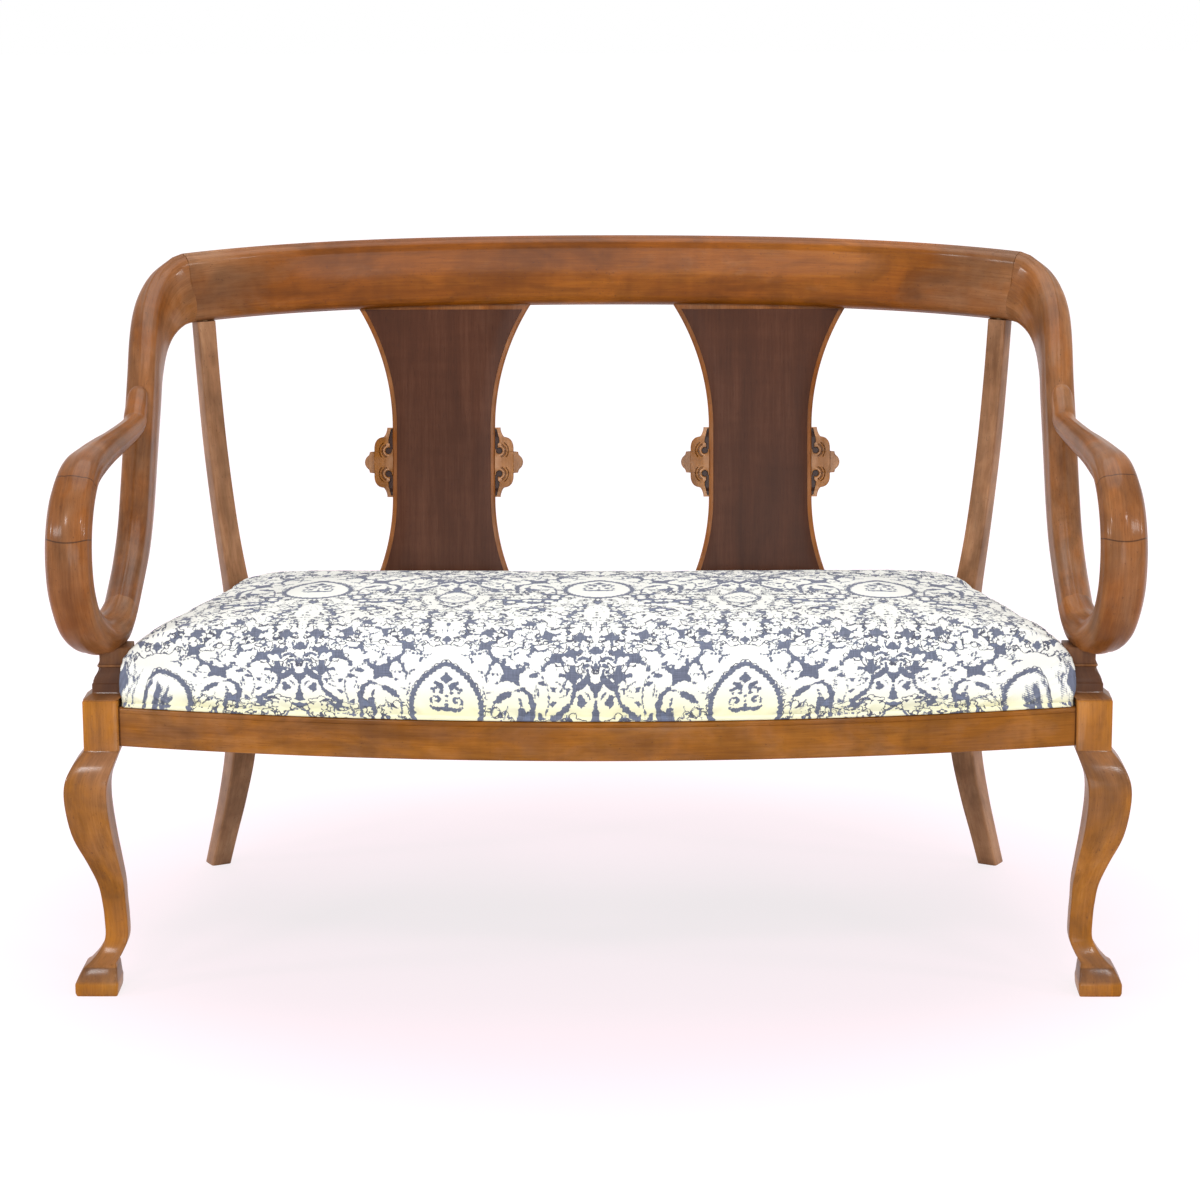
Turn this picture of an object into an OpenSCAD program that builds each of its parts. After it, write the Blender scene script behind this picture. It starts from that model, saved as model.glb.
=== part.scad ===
// Two-seat settee: a crest rail that turns forward and sweeps down into scrolled arms,
// cabriole front legs, sabre rear legs, two waisted splats and a sprung, tacked seat.
// Millimetres. +Z is up, +Y runs to the back and X = 0 is the middle of the seat.

/* [Overall] */
// Height of the crest rail's top edge at its middle
overall_h = 850; // [790:1:910]
// Width over the outer faces of the two front blocks
span_w = 1236; // [1100:1:1400]
// From the front face of the blocks back to the middle of the rear posts
seat_d = 495; // [450:1:540]
// Height of the top of the seat rails
rail_top = 357; // [335:1:380]

/* [Seat rails] */
// Height of every seat rail
rail_h = 48; // [40:1:56]
// Thickness of the bowed front rail
front_rail_t = 30; // [24:1:36]
// Thickness of the side and back rails
side_rail_t = 26; // [22:1:30]
// How far the front rail bows forward of its ends
rail_bow = 72; // [40:1:90]
// How far the ends of the front rail stand back from the blocks' front faces
rail_setback = 5; // [2:1:9]
// Radius of the bead along the top of the front rail
bead_r = 3; // [2:0.5:4]
// Length of the tenons on the front rail
tenon_l = 20; // [14:1:26]
// Thickness of the tenons on the front rail
tenon_t = 10; // [8:1:14]

/* [Front legs] */
// Side of the square block that the front and side rails meet
block_w = 43; // [38:1:50]
// Height of the block
block_h = 62; // [56:1:70]
// How far the block rises above the rails
block_rise = 9; // [4:1:14]
// How far the knee swings outward and forward of the block
knee_out = 18; // [10:1:26]
// How far the ankle tucks inward from the block's middle
ankle_in = 8; // [3:1:14]
// Side of the leg at the ankle
ankle_w = 28; // [24:1:34]
// Side of the foot pad
foot_w = 53; // [46:1:60]
// Width of the moulded neck between block and arm
neck_w = 38; // [34:1:44]
// Depth of the moulded neck
neck_d = 40; // [36:1:46]
// Height of the neck and its mouldings above the block
neck_h = 60; // [50:1:76]
// How far the neck's middle lies inward of the block's middle
neck_inset = 16.5; // [10:0.5:20]
// How far the neck's middle lies behind the block's middle
neck_back = 22; // [12:1:26]

/* [Rear legs] */
// How far the middles of the rear posts at the rails lie inward of the blocks' outer faces
post_inset = 140; // [90:1:210]
// Side of the square post where the rails meet it
post_w = 34; // [30:1:38]
// Side of the post at its top
post_top_w = 25; // [22:1:28]
// Side of the rear leg at the floor
rear_foot_w = 27; // [24:1:30]
// How far the rear feet splay to the side
rear_splay = 47; // [20:1:60]
// How far the rear feet rake to the back
rear_rake = 62; // [30:1:75]

/* [Crest rail and arms] */
// How far the ends of the crest rail lie inward of the blocks' outer faces
crest_inset = 76; // [20:1:130]
// Height of the crest rail's face
crest_h = 88; // [76:1:98]
// Thickness of the crest rail and of the arm stiles
crest_t = 36; // [32:1:42]
// How far the middle of the crest rail stands behind the middles of the rear posts at the rails
crest_back = 90; // [70:1:110]
// How far the ends of the crest rail come forward of its middle
crest_bow = 65; // [40:1:80]
// How far the ends of the crest rail drop below its middle
crest_drop = 14; // [6:1:24]
// Radius of the long edges of the crest rail and the stiles
edge_r = 12; // [8:1:14]
// How far the arms stand inward of the front blocks' middles
arm_inset = 14.5; // [6:0.5:20]
// Distance from the blocks' front faces back to the lap joint of stile and scroll
lap_y = 100; // [85:1:120]
// Width of the scroll seen from the front
scroll_w = 51; // [44:1:56]
// Thickness of the scroll around its curve
scroll_t = 42; // [36:1:46]
// How far the scroll reaches forward of the lap joint
scroll_reach = 143; // [125:1:160]
// How far the scroll rises above the lap joint
scroll_rise = 186; // [170:1:200]
// How far the scroll swings outward
scroll_flare = 39; // [25:1:50]
// Width of the thumb that rests on the stile
thumb_w = 27; // [22:1:30]
// Diameter of the plug over the thumb's screw
plug_d = 8; // [6:1:10]

/* [Splats] */
// Distance between the middles of the two splats
splat_gap = 419; // [380:1:460]
// Width of a splat at the crest rail
splat_top_w = 230; // [190:1:250]
// Width of a splat at its waist
splat_waist_w = 136; // [110:1:150]
// Thickness of the splat boards
splat_t = 10; // [8:1:12]
// Thickness of the facing on the splats
facing_t = 1.5; // [1:0.5:3]
// Width of the border that the facing leaves bare
border_w = 7; // [4:0.5:10]
// Height of the pierced carvings
carving_h = 92; // [80:1:104]
// How far the carvings stand out from the splats' edges
carving_out = 37; // [30:1:44]
// Thickness of the carvings
carving_t = 13; // [10:1:16]

/* [Seat] */
// Height of the crown of the seat above the rails, before its fall to the back
crown_h = 107; // [92:1:116]
// Thickness of the seat cover
cover_t = 2; // [1.5:0.5:3]
// Diameter of the welt around the seat
welt_d = 6; // [4:0.5:7]
// Diameter of the spring wire
wire_d = 4; // [3:0.5:4.5]
// Radius of the springs at their ends
spring_r = 40; // [34:1:46]
// Number of springs from side to side
spring_cols = 4; // [3:1:5]
// Number of springs from front to back
spring_rows = 2; // [2:1:2]
// Width of the webbing
web_w = 50; // [40:1:56]
// Thickness of the webbing
web_t = 1.6; // [1:0.2:2]
// Side of the triangular corner blocks
corner_w = 70; // [56:1:80]
// Diameter of the screws in the corner blocks
screw_d = 5; // [4:0.5:6]
// Diameter of the dowels in the crest and scroll joints
dowel_d = 10; // [8:1:12]
// Length of those dowels
dowel_l = 44; // [30:1:56]

/* [Hidden] */

// Colours
amber = [0.55, 0.32, 0.13];
brown = [0.42, 0.24, 0.13];
mahogany = [0.27, 0.15, 0.11];
pale_wood = [0.72, 0.58, 0.40];
steel = [0.55, 0.56, 0.58];
cream = [0.90, 0.89, 0.80];
slate = [0.42, 0.49, 0.60];
jute = [0.66, 0.56, 0.38];
hair = [0.50, 0.43, 0.34];
black_cloth = [0.10, 0.10, 0.11];

// Clearance between pieces that are laid on one another, and overrun of every cut
gap = 0.3;
over = 1;
// Chords on each rounded corner of a swept section, and steps between two rows of a table
corner_steps = 2;
curve_steps = 3;
round_fn = 48;
bore_fn = 24;
arc_fn = 720;

// Places worked out from the sizes above
leg_x = (span_w - block_w) / 2;
block_in = span_w / 2 - block_w;
block_top = rail_top + block_rise;
block_low = block_top - block_h;
rail_low = rail_top - rail_h;
neck_x = leg_x - neck_inset;
neck_y = block_w / 2 + neck_back;
neck_top = block_top + neck_h;
post_x = span_w / 2 - post_inset;
arm_x = leg_x - arm_inset;
crest_x = span_w / 2 - crest_inset;
crest_y = seat_d + crest_back;
crest_end_y = crest_y - crest_bow;
crest_z = overall_h - crest_h / 2;
crest_end_z = crest_z - crest_drop;
crest_power = 4.5;
crest_arch_r = (pow(crest_x, 2) + pow(crest_drop, 2)) / (2 * crest_drop);
bow_r = (pow(block_in, 2) + pow(rail_bow, 2)) / (2 * rail_bow);
bow_front = rail_setback - rail_bow;
bow_angle = asin(block_in / bow_r);

// The turn of the crest rail at its end, which the rear posts share
crest_turn = atan(crest_power * crest_bow / crest_x);

// Vectors and curves
function unit(v) = v / norm(v);
function last(list) = list[len(list) - 1];
function row(rows, i) = rows[max(0, min(len(rows) - 1, i))];
function mix(a, b, t) = a + (b - a) * t;
// A smooth cubic from b to c, led by the rows a and d on either side
function blend(a, b, c, d, t) = 0.5 * (2 * b + (c - a) * t + (2 * a - 5 * b + 4 * c - d) * t * t
    + (3 * b - a - 3 * c + d) * t * t * t);
function curve(rows, steps) = concat([for (i = [0 : len(rows) - 2]) for (k = [0 : steps - 1])
    blend(row(rows, i - 1), rows[i], rows[i + 1], row(rows, i + 2), k / steps)], [last(rows)]);

// A rectangle with rounded corners, half sizes hu by hv, as points around it
function round_rect(hu, hv, r) = [for (q = [0 : 3]) for (k = [0 : corner_steps])
    let (a = 90 * (q + k / corner_steps), su = (q == 0 || q == 3) ? 1 : -1, sv = q < 2 ? 1 : -1)
    [su * (hu - r) + r * cos(a), sv * (hv - r) + r * sin(a)]];
function ring(p, u, v, outline) = [for (q = outline) p + u * q[0] + v * q[1]];
function level_ring(x, y, z, hx, hy, r, turn = 0) = ring([x, y, z], [cos(turn), sin(turn), 0],
    [-sin(turn), cos(turn), 0], round_rect(hx, hy, r));

// Triangles between ring number i and the next one, each ring of n points
function band(n, i) = [for (j = [0 : n - 1]) let (k = (j + 1) % n)
    each [[i * n + j, (i + 1) * n + j, (i + 1) * n + k], [i * n + j, (i + 1) * n + k, i * n + k]]];

// A closed solid through rings of points, with a flat cap at each end
module skin(rings) {
    n = len(rings[0]);
    m = len(rings);
    sides = [for (i = [0 : m - 2]) each band(n, i)];
    caps = [[for (j = [0 : n - 1]) j], [for (j = [n - 1 : -1 : 0]) (m - 1) * n + j]];
    polyhedron([for (r = rings) each r], concat(sides, caps));
}

// Everything is laid out from the blocks' front faces and then centred front to back
hem_inset = welt_d * 0.8;
welt_off = welt_d / 2 + gap;
front_reach = bow_front + hem_inset - 2 * welt_off;
back_reach = crest_y + crest_t / 2;
mid_y = (front_reach + back_reach) / 2;
module centred() translate([0, -mid_y, 0]) children();
module on_side(side) mirror([side < 0 ? 1 : 0, 0, 0]) children();

// Seat rails

// The front rail's face in plan, as a distance behind the blocks' front faces
function bow_y(x) = bow_front + bow_r - sqrt(pow(bow_r, 2) - pow(x, 2));

module front_rail_profile() {
    translate([-front_rail_t, 0]) square([front_rail_t - bead_r, rail_h - bead_r]);
    translate([-front_rail_t, bead_r]) square([front_rail_t, rail_h - 4 * bead_r]);
    translate([-bead_r, bead_r]) circle(bead_r, $fn = round_fn);
    translate([-front_rail_t, rail_h - 2 * bead_r]) square([front_rail_t - bead_r, 2 * bead_r]);
    translate([-bead_r, rail_h - bead_r]) circle(bead_r, $fn = round_fn);
}

module rail_tenon(side, slack) {
    translate([side * block_in - (side > 0 ? over : tenon_l + slack),
        rail_setback + front_rail_t / 2 - tenon_t / 2 - slack, rail_low + rail_h / 6 - slack])
        cube([tenon_l + over + slack, tenon_t + 2 * slack, rail_h * 2 / 3 + 2 * slack]);
}

module front_rail() color(amber) centred() {
    difference() {
        translate([0, bow_front + bow_r, rail_low]) rotate([0, 0, -90 - 2 * bow_angle])
            rotate_extrude(angle = 4 * bow_angle, $fn = arc_fn)
            translate([bow_r, 0]) front_rail_profile();
        for (side = [-1, 1]) translate([side * (block_in + span_w / 2), 0, rail_top])
            cube([span_w, span_w, 4 * rail_h], center = true);
        for (side = [-1, 1]) on_side(side) corner_screw_set(screw_core, 0);
    }
    for (side = [-1, 1]) rail_tenon(side, 0);
}

// The square prism of a rear post where the rails meet it
module post_prism(slack) translate([post_x, seat_d, rail_low - over]) rotate([0, 0, -crest_turn])
    translate([-post_w / 2 - slack, -post_w / 2 - slack, 0])
    cube([post_w + 2 * slack, post_w + 2 * slack, rail_h + 2 * over]);

back_rail_y = seat_d + side_rail_t / 2;
back_rail_x = post_x - post_w / 5;
module back_rail() color(brown) centred() difference() {
    translate([-back_rail_x, back_rail_y - side_rail_t / 2, rail_low])
        cube([2 * back_rail_x, side_rail_t, rail_h]);
    for (side = [-1, 1]) on_side(side) {
        post_prism(gap / 2);
        corner_screw_set(screw_core, 0);
    }
    for (side = [-1, 1]) splat_tongue_low(side, gap / 2);
}

// The side rail's outer line, from the block to the rear post
side_front_x = block_in + side_rail_t / 2;
side_back_x = post_x + post_w / 2 - side_rail_t / 4;
side_run = [side_back_x - side_front_x, seat_d - block_w];
side_in = side_rail_t / unit(side_run)[1];

module side_rail(side) color(brown) centred() on_side(side) difference() {
    translate([0, 0, rail_low]) linear_extrude(rail_h) polygon([
        [side_front_x, block_w], [side_front_x, block_w] + side_run,
        [side_front_x - side_in, block_w] + side_run, [side_front_x - side_in, block_w]]);
    post_prism(gap / 2);
    corner_screw_set(screw_core, 0);
}
module side_rail_left() side_rail(-1);
module side_rail_right() side_rail(1);

// Front legs

// Rows from the ankle's flare up to the block: height as a share of the block's underside, swing
// out and forward as a share of the knee's (positive) or the ankle's (negative), half width as
// a share from the ankle's (0) to the block's (1)
leg_shares = [[0.118, 0.42, 0.40], [0.158, -0.19, 0.13], [0.21, -1.04, 0], [0.29, -1.04, 0],
    [0.36, -0.86, 0.04], [0.44, -0.55, 0.24], [0.535, 0.14, 0.67], [0.66, 0.70, 1.33],
    [0.79, 1, 1.55], [0.88, 0.97, 1.57], [0.945, 0.56, 1.43], [1, 0, 1]];
// Rows of the foot pad: height as a share of the block's underside, swing as a share of the
// knee's, half width as a share of the pad's
foot_shares = [[0, 0.72, 0.95], [0.013, 0.73, 0.98], [0.046, 0.72, 0.99], [0.066, 0.66, 0.90]];
function leg_swing(s) = s > 0 ? s * knee_out : s * ankle_in;
leg_rows = concat([for (f = foot_shares) [f[0] * block_low, f[1] * knee_out, f[2] * foot_w / 2]],
    curve([for (s = leg_shares) [s[0] * block_low, leg_swing(s[1]),
        mix(ankle_w, block_w, s[2]) / 2]], curve_steps));
leg_edge_r = 2.5;

// Mouldings over the block: height share of the neck, then how far the outer, front, and inner
// and back sides have come from the neck's (0) to the block's (1)
neck_shares = [[0.09, 0.55, 0.40, 0.5], [0.11, 0.47, 0.3, 0.4], [0.28, 0.47, 0.3, 0.4],
    [0.30, 0.40, 0.25, 0.3], [0.42, 0.30, 0.2, 0.2], [0.55, 0.07, 0.05, 0.05],
    [0.60, 0.06, 0, 0], [0.635, 0.14, 0.06, 0], [0.67, 0.06, 0, 0], [0.74, 0, 0, 0], [1, 0, 0, 0]];
function neck_ring(z, o, f, i) = let (x1 = mix(neck_x - neck_w / 2, block_in, i),
    x2 = mix(neck_x + neck_w / 2, span_w / 2, o), y1 = mix(neck_y - neck_d / 2, 0, f),
    y2 = mix(neck_y + neck_d / 2, block_w, i))
    level_ring((x1 + x2) / 2, (y1 + y2) / 2, z, (x2 - x1) / 2, (y2 - y1) / 2, leg_edge_r);
leg_rings = concat(
    [for (r = leg_rows) level_ring(leg_x + r[1], block_w / 2 - r[1], r[0], r[2], r[2], leg_edge_r)],
    [neck_ring(block_top, 1, 1, 1)],
    [for (s = neck_shares) neck_ring(block_top + s[0] * neck_h, s[1], s[2], s[3])]);

module front_leg(side) color(amber) centred() difference() {
    on_side(side) skin(leg_rings);
    rail_tenon(side, gap / 2);
}
module front_leg_left() front_leg(-1);
module front_leg_right() front_leg(1);

// Rear legs: rows of height, sideways and backward shares, and width shares
rear_leg_shares = [[0, 1, 1, 1], [0.15, 0.75, 0.76, 0.85], [0.33, 0.45, 0.46, 0.55],
    [0.55, 0.16, 0.17, 0.2], [0.8, 0.02, 0.02, 0], [1, 0, 0, 0]];
rear_post_shares = [[0, 0, 0, 0], [0.1, 0.13, 0.02, 0.5], [0.3, 0.40, 0.14, 0.85],
    [0.56, 0.68, 0.42, 0.95], [0.8, 0.87, 0.72, 1], [1, 1, 1, 1]];
post_top_x = crest_x - post_top_w * 0.8;
function crest_line_y(x) = crest_y - crest_bow * pow(abs(x) / crest_x, crest_power);
function crest_line_z(x) = crest_z - crest_arch_r + sqrt(pow(crest_arch_r, 2) - pow(x, 2));
post_top_y = crest_line_y(post_top_x);
post_top_z = crest_line_z(post_top_x + post_top_w / 2) - crest_h / 2 - gap;
rear_rows = concat(
    curve([for (s = rear_leg_shares) [post_x + s[1] * rear_splay, seat_d + s[2] * rear_rake,
        s[0] * rail_low, mix(post_w, rear_foot_w, s[3]) / 2]], curve_steps),
    curve([for (s = rear_post_shares) [mix(post_x, post_top_x, s[1]), mix(seat_d, post_top_y, s[2]),
        mix(rail_top, post_top_z, s[0]), mix(post_w, post_top_w, s[3]) / 2]], curve_steps));

module rear_leg(side) color(brown) centred() on_side(side) difference() {
    skin([for (r = rear_rows) level_ring(r[0], r[1], r[2], r[3], r[3], leg_edge_r, -crest_turn)]);
    post_dowel(gap / 2);
}
module rear_leg_left() rear_leg(-1);
module rear_leg_right() rear_leg(1);

// Crest rail and arms. One line runs from the middle of the crest rail to the thumb, in rows of
// x, y, z, half thickness, half width and the turn of its side from straight back to straight
// out. The stile is shared between its two joints and the scroll starts at the lap joint.
crest_steps = 16;
lap_z = neck_top + scroll_t * 0.72;
lap_t = 38;
lap_w = 40;
crest_rows = [for (i = [0 : crest_steps]) let (x = crest_x * i / crest_steps)
    [x, crest_line_y(x), crest_line_z(x), crest_t / 2, crest_h / 2,
        atan(crest_power * crest_bow / crest_x * pow(x / crest_x, crest_power - 1))]];
// Shares of the way from crest joint to lap joint: out, forward, down; then the width share of
// the crest's height from the lap's, and the turn in quarter turns
stile_shares = [[0, 0, 0, 1, crest_turn / 90], [0.42, 0.041, 0.027, 0.86, 0.50],
    [0.72, 0.104, 0.078, 0.80, 0.74], [0.90, 0.178, 0.142, 0.86, 0.90],
    [0.98, 0.262, 0.230, 0.96, 0.98], [1, 0.350, 0.340, 0.98, 1], [1, 0.464, 0.52, 0.88, 1],
    [1, 0.567, 0.69, 0.76, 1], [1, 0.667, 0.813, 0.48, 1], [1, 0.786, 0.897, 0.18, 1],
    [1, 0.9, 0.954, 0.05, 1], [1, 1, 1, 0, 1]];
stile_rows = curve([for (s = stile_shares) [mix(crest_x, arm_x, s[0]),
    mix(crest_end_y, lap_y, s[1]), mix(crest_end_z, lap_z, s[2]),
    mix(crest_t, lap_t, s[1]) / 2, mix(lap_w, crest_h, s[3]) / 2, 90 * s[4]]], curve_steps);
// Shares of the scroll: out of its flare, forward of its reach, up of its rise, then width from
// the lap's (0) to the scroll's (1), and thickness likewise
scroll_shares = [[0, 0, 0, 0, 0], [0.14, 0.28, -0.070, 0.45, 0.5], [0.48, 0.56, -0.075, 0.78, 1],
    [0.80, 0.80, 0.045, 0.95, 1], [0.95, 0.95, 0.24, 1, 1], [1, 1, 0.445, 1, 1],
    [1, 0.95, 0.66, 0.96, 1], [0.95, 0.78, 0.85, 0.85, 0.9], [0.84, 0.50, 0.975, 0.55, 0.2],
    [0.66, 0.17, 1.015, 0.15, -1.5], [0.46, -0.18, 1.035, -0.25, -3.0],
    [0.27, -0.52, 1.045, -0.5, -4.5]];
// Where the thumb lies on the stile's front edge: shares of the way along the stile's rows, then
// width and thickness shares of the thumb, and how far it still stands off as it comes down
thumb_shares = [[0.548, 1.02, 1, 0.5], [0.528, 1, 0.95, 0.2], [0.508, 0.97, 0.82, 0.04],
    [0.492, 0.85, 0.62, 0], [0.481, 0.55, 0.38, 0]];

function tangent(rows, i) = let (a = row(rows, i - 1), b = row(rows, i + 1))
    unit([b[0] - a[0], b[1] - a[1], b[2] - a[2]]);
function side_dir(rows, i, t) = let (s = [sin(rows[i][5]), cos(rows[i][5]), 0])
    unit(s - t * (s * t));
function spot(r) = [r[0], r[1], r[2]];
// The middle of the stile's front edge, moved out from it by a distance
function edge_at(i, out) = let (t = tangent(stile_rows, i), s = side_dir(stile_rows, i, t))
    spot(stile_rows[i]) + cross(s, t) * -(stile_rows[i][4] + out);
function stile_edge(f, out) = let (n = f * (len(stile_rows) - 1), i = floor(n))
    mix(edge_at(i, out), edge_at(i + 1, out), n - i);
thumb_t = 26;
thumb_rows = [for (h = thumb_shares) let (half = thumb_t * h[2] / 2,
    p = stile_edge(h[0], gap + half + thumb_t * h[3])) [p[0], p[1], p[2], thumb_w * h[1] / 2, half, 90]];
scroll_rows = concat(curve(concat(
    [for (s = scroll_shares) [arm_x + s[0] * scroll_flare, lap_y - s[1] * scroll_reach,
        lap_z + s[2] * scroll_rise, mix(lap_t, scroll_w, s[3]) / 2,
        mix(lap_w, scroll_t, s[4]) / 2, 90]], thumb_rows), curve_steps));
arm_rows = concat(crest_rows, [for (i = [1 : len(stile_rows) - 1]) stile_rows[i]],
    [for (i = [1 : len(scroll_rows) - 1]) scroll_rows[i]]);
crest_joint = crest_steps;
lap_joint = crest_joint + len(stile_rows) - 1;

function arm_ring(i) = let (r = arm_rows[i], t = i == 0 ? [1, 0, 0] : tangent(arm_rows, i),
    s = side_dir(arm_rows, i, t), e = min(edge_r, 0.85 * r[3], 0.85 * r[4]))
    ring(spot(r), s, cross(t, s), round_rect(r[3], r[4], e));
// A dowel across the ring of the arm line with a given number
module cross_dowel(i, shift, slack) {
    t = tangent(arm_rows, i);
    s = side_dir(arm_rows, i, t);
    translate(spot(arm_rows[i]) + cross(s, t) * shift) rotate([0, acos(t[2]), atan2(t[1], t[0])])
        cylinder(h = dowel_l + 2 * slack, d = dowel_d + 2 * slack, center = true, $fn = bore_fn);
}
module crest_dowels(slack) for (k = [-1, 1]) cross_dowel(crest_joint, k * crest_h / 5, slack);
module lap_dowel(slack) cross_dowel(lap_joint, 0, slack);
module post_dowel(slack) translate([post_top_x, post_top_y, post_top_z])
    cylinder(h = dowel_l * 0.6 + 2 * slack, d = dowel_d + 2 * slack, center = true, $fn = bore_fn);

// The neck is let into the underside of the scroll
module neck_seat() translate([neck_x - neck_w / 2 - gap / 2, neck_y - neck_d / 2 - gap / 2, block_top])
    cube([neck_w + gap, neck_d + gap, neck_h + gap / 2]);

module crest_rail() color(amber) centred() difference() {
    skin(concat([for (i = [crest_joint : -1 : 1]) [for (q = arm_ring(i)) [-q[0], q[1], q[2]]]],
        [for (i = [0 : crest_joint]) arm_ring(i)]));
    for (side = [-1, 1]) on_side(side) {
        crest_dowels(gap / 2);
        post_dowel(gap / 2);
    }
    for (side = [-1, 1]) splat_tongue_high(side, gap / 2);
}
module arm_stile(side) color(amber) centred() on_side(side) difference() {
    skin([for (i = [crest_joint : lap_joint]) arm_ring(i)]);
    crest_dowels(gap / 2);
    lap_dowel(gap / 2);
}
module arm_stile_left() arm_stile(-1);
module arm_stile_right() arm_stile(1);

// The plug over the screw that holds the thumb to the stile
plug_share = 0.515;
plug_h = plug_d * 0.8;
module plug_at(slack, proud) {
    base = stile_edge(plug_share, 0);
    way = unit(stile_edge(plug_share, 1) - base);
    translate(base + way * (thumb_t * 0.93 + gap)) rotate([0, acos(way[2]), atan2(way[1], way[0])])
        translate([0, 0, -plug_h - slack])
        cylinder(h = plug_h + slack + proud, d = plug_d + 2 * slack, $fn = bore_fn);
}
module scroll_arm(side) color(brown) centred() on_side(side) difference() {
    skin([for (i = [lap_joint : len(arm_rows) - 1]) arm_ring(i)]);
    lap_dowel(gap / 2);
    neck_seat();
    plug_at(gap / 2, plug_h);
}
module scroll_arm_left() scroll_arm(-1);
module scroll_arm_right() scroll_arm(1);
module thumb_plug(side) color(mahogany) centred() on_side(side) plug_at(0, gap);
module thumb_plug_left() thumb_plug(-1);
module thumb_plug_right() thumb_plug(1);

module joint_dowels() color(pale_wood) centred() for (side = [-1, 1]) on_side(side) {
    crest_dowels(0);
    lap_dowel(0);
    post_dowel(0);
}

// Splats. Each one stands on the back rail, leans back and ends under the crest rail
splat_y = back_rail_y;
splat_top_y = crest_line_y(splat_gap / 2);
splat_rise = crest_line_z(splat_gap / 2) - crest_h / 2 - rail_top;
splat_lean = atan((splat_top_y - splat_y) / splat_rise);
splat_l = splat_rise / cos(splat_lean);
waist_low = splat_l * 0.38;
waist_high = splat_l * 0.605;
function flare_r(rise) = let (w = (splat_top_w - splat_waist_w) / 2)
    (pow(w, 2) + pow(rise, 2)) / (2 * w);
module splat_outline(inset) difference() {
    translate([-splat_top_w / 2 + inset, -splat_t]) square([splat_top_w - 2 * inset,
        splat_l + 2 * splat_t]);
    for (side = [-1, 1]) mirror([side < 0 ? 1 : 0, 0]) translate([splat_waist_w / 2 - inset, 0]) {
        translate([flare_r(splat_l - waist_high) + inset, waist_high])
            circle(flare_r(splat_l - waist_high) + inset, $fn = arc_fn);
        translate([flare_r(waist_low) + inset, waist_low])
            circle(flare_r(waist_low) + inset, $fn = arc_fn);
        translate([0, waist_low]) square([splat_top_w, waist_high - waist_low]);
    }
}
// From the plane of a splat's outline to its place, with the outline's thickness to the front
module on_splat(side) translate([side * splat_gap / 2, splat_y, rail_top])
    rotate([90 - splat_lean, 0, 0]) children();
// Everything that is less than a distance below the crest rail or above the back rail
crest_under = [for (i = [-crest_steps : crest_steps]) let (x = crest_x * i / crest_steps)
    [x, crest_line_z(x) - crest_h / 2 - gap]];
module splat_ends(inset) {
    translate([-span_w / 2, 0, rail_top + inset - rail_h]) cube([span_w, span_w, rail_h]);
    translate([0, span_w, -inset]) rotate([90, 0, 0]) linear_extrude(span_w)
        polygon(concat(crest_under, [[crest_x, overall_h], [-crest_x, overall_h]]));
}
tongue_w = splat_waist_w * 0.8;
tongue_t = splat_t * 0.5;
module splat_tongue_low(side, slack) translate([side * splat_gap / 2, splat_y, rail_top - splat_t])
    translate([-tongue_w / 2 - slack, -tongue_t / 2 - slack, -slack])
    cube([tongue_w + 2 * slack, tongue_t + 2 * slack, splat_t + over + slack]);
module splat_tongue_high(side, slack)
    translate([side * splat_gap / 2, splat_top_y, rail_top + splat_rise - over - splat_t / 2])
    translate([-tongue_w / 2 - slack, -tongue_t / 2 - slack, 0])
    cube([tongue_w + 2 * slack, tongue_t + 2 * slack, splat_t * 3 / 2 + over + slack]);

module splat(side) color(brown) centred() {
    difference() {
        on_splat(side) translate([0, 0, -splat_t / 2]) linear_extrude(splat_t) splat_outline(0);
        splat_ends(0);
    }
    splat_tongue_low(side, 0);
    splat_tongue_high(side, 0);
}
module splat_left() splat(-1);
module splat_right() splat(1);
module splat_facing(side) color(mahogany) centred() difference() {
    on_splat(side) translate([0, 0, splat_t / 2]) linear_extrude(facing_t)
        splat_outline(border_w);
    splat_ends(border_w);
}
module splat_facing_left() splat_facing(-1);
module splat_facing_right() splat_facing(1);

// Pierced carvings beside the waists, drawn outward from the splat's edge and up from the middle
module carving_outline() {
    h = carving_h / 2;
    w = carving_out;
    difference() {
        union() {
            translate([w * 0.83, 0]) circle(w * 0.17, $fn = bore_fn);
            translate([w * 0.5, -h * 0.22]) square([w * 0.3, h * 0.44]);
            translate([0, -h * 0.46]) square([w * 0.63, h * 0.92]);
            for (k = [-1, 1]) {
                translate([w * 0.42, k * h * 0.45]) circle(w * 0.22, $fn = bore_fn);
                translate([0, k * h * 0.64 - h * 0.14]) square([w * 0.35, h * 0.28]);
                translate([0, k * h * 0.84 - h * 0.16]) square([w * 0.19, h * 0.32]);
            }
        }
        for (k = [-1, 1]) {
            translate([w * 0.21, k * h * 0.33]) difference() {
                circle(w * 0.15, $fn = bore_fn);
                circle(w * 0.07, $fn = bore_fn);
                translate([-w * 0.2, -h * 0.02]) square([w * 0.2, h * 0.04]);
            }
            translate([w * 0.44, k * h * 0.72]) circle(w * 0.12, $fn = bore_fn);
        }
    }
}
module carving(side, way) color(amber) centred() on_splat(side)
    translate([way * splat_waist_w / 2, waist_low + carving_h / 2, -carving_t / 2])
    mirror([way < 0 ? 1 : 0, 0, 0]) linear_extrude(carving_t) carving_outline();
module carving_left_outer() carving(-1, -1);
module carving_left_inner() carving(-1, 1);
module carving_right_outer() carving(1, 1);
module carving_right_inner() carving(1, -1);

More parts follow.
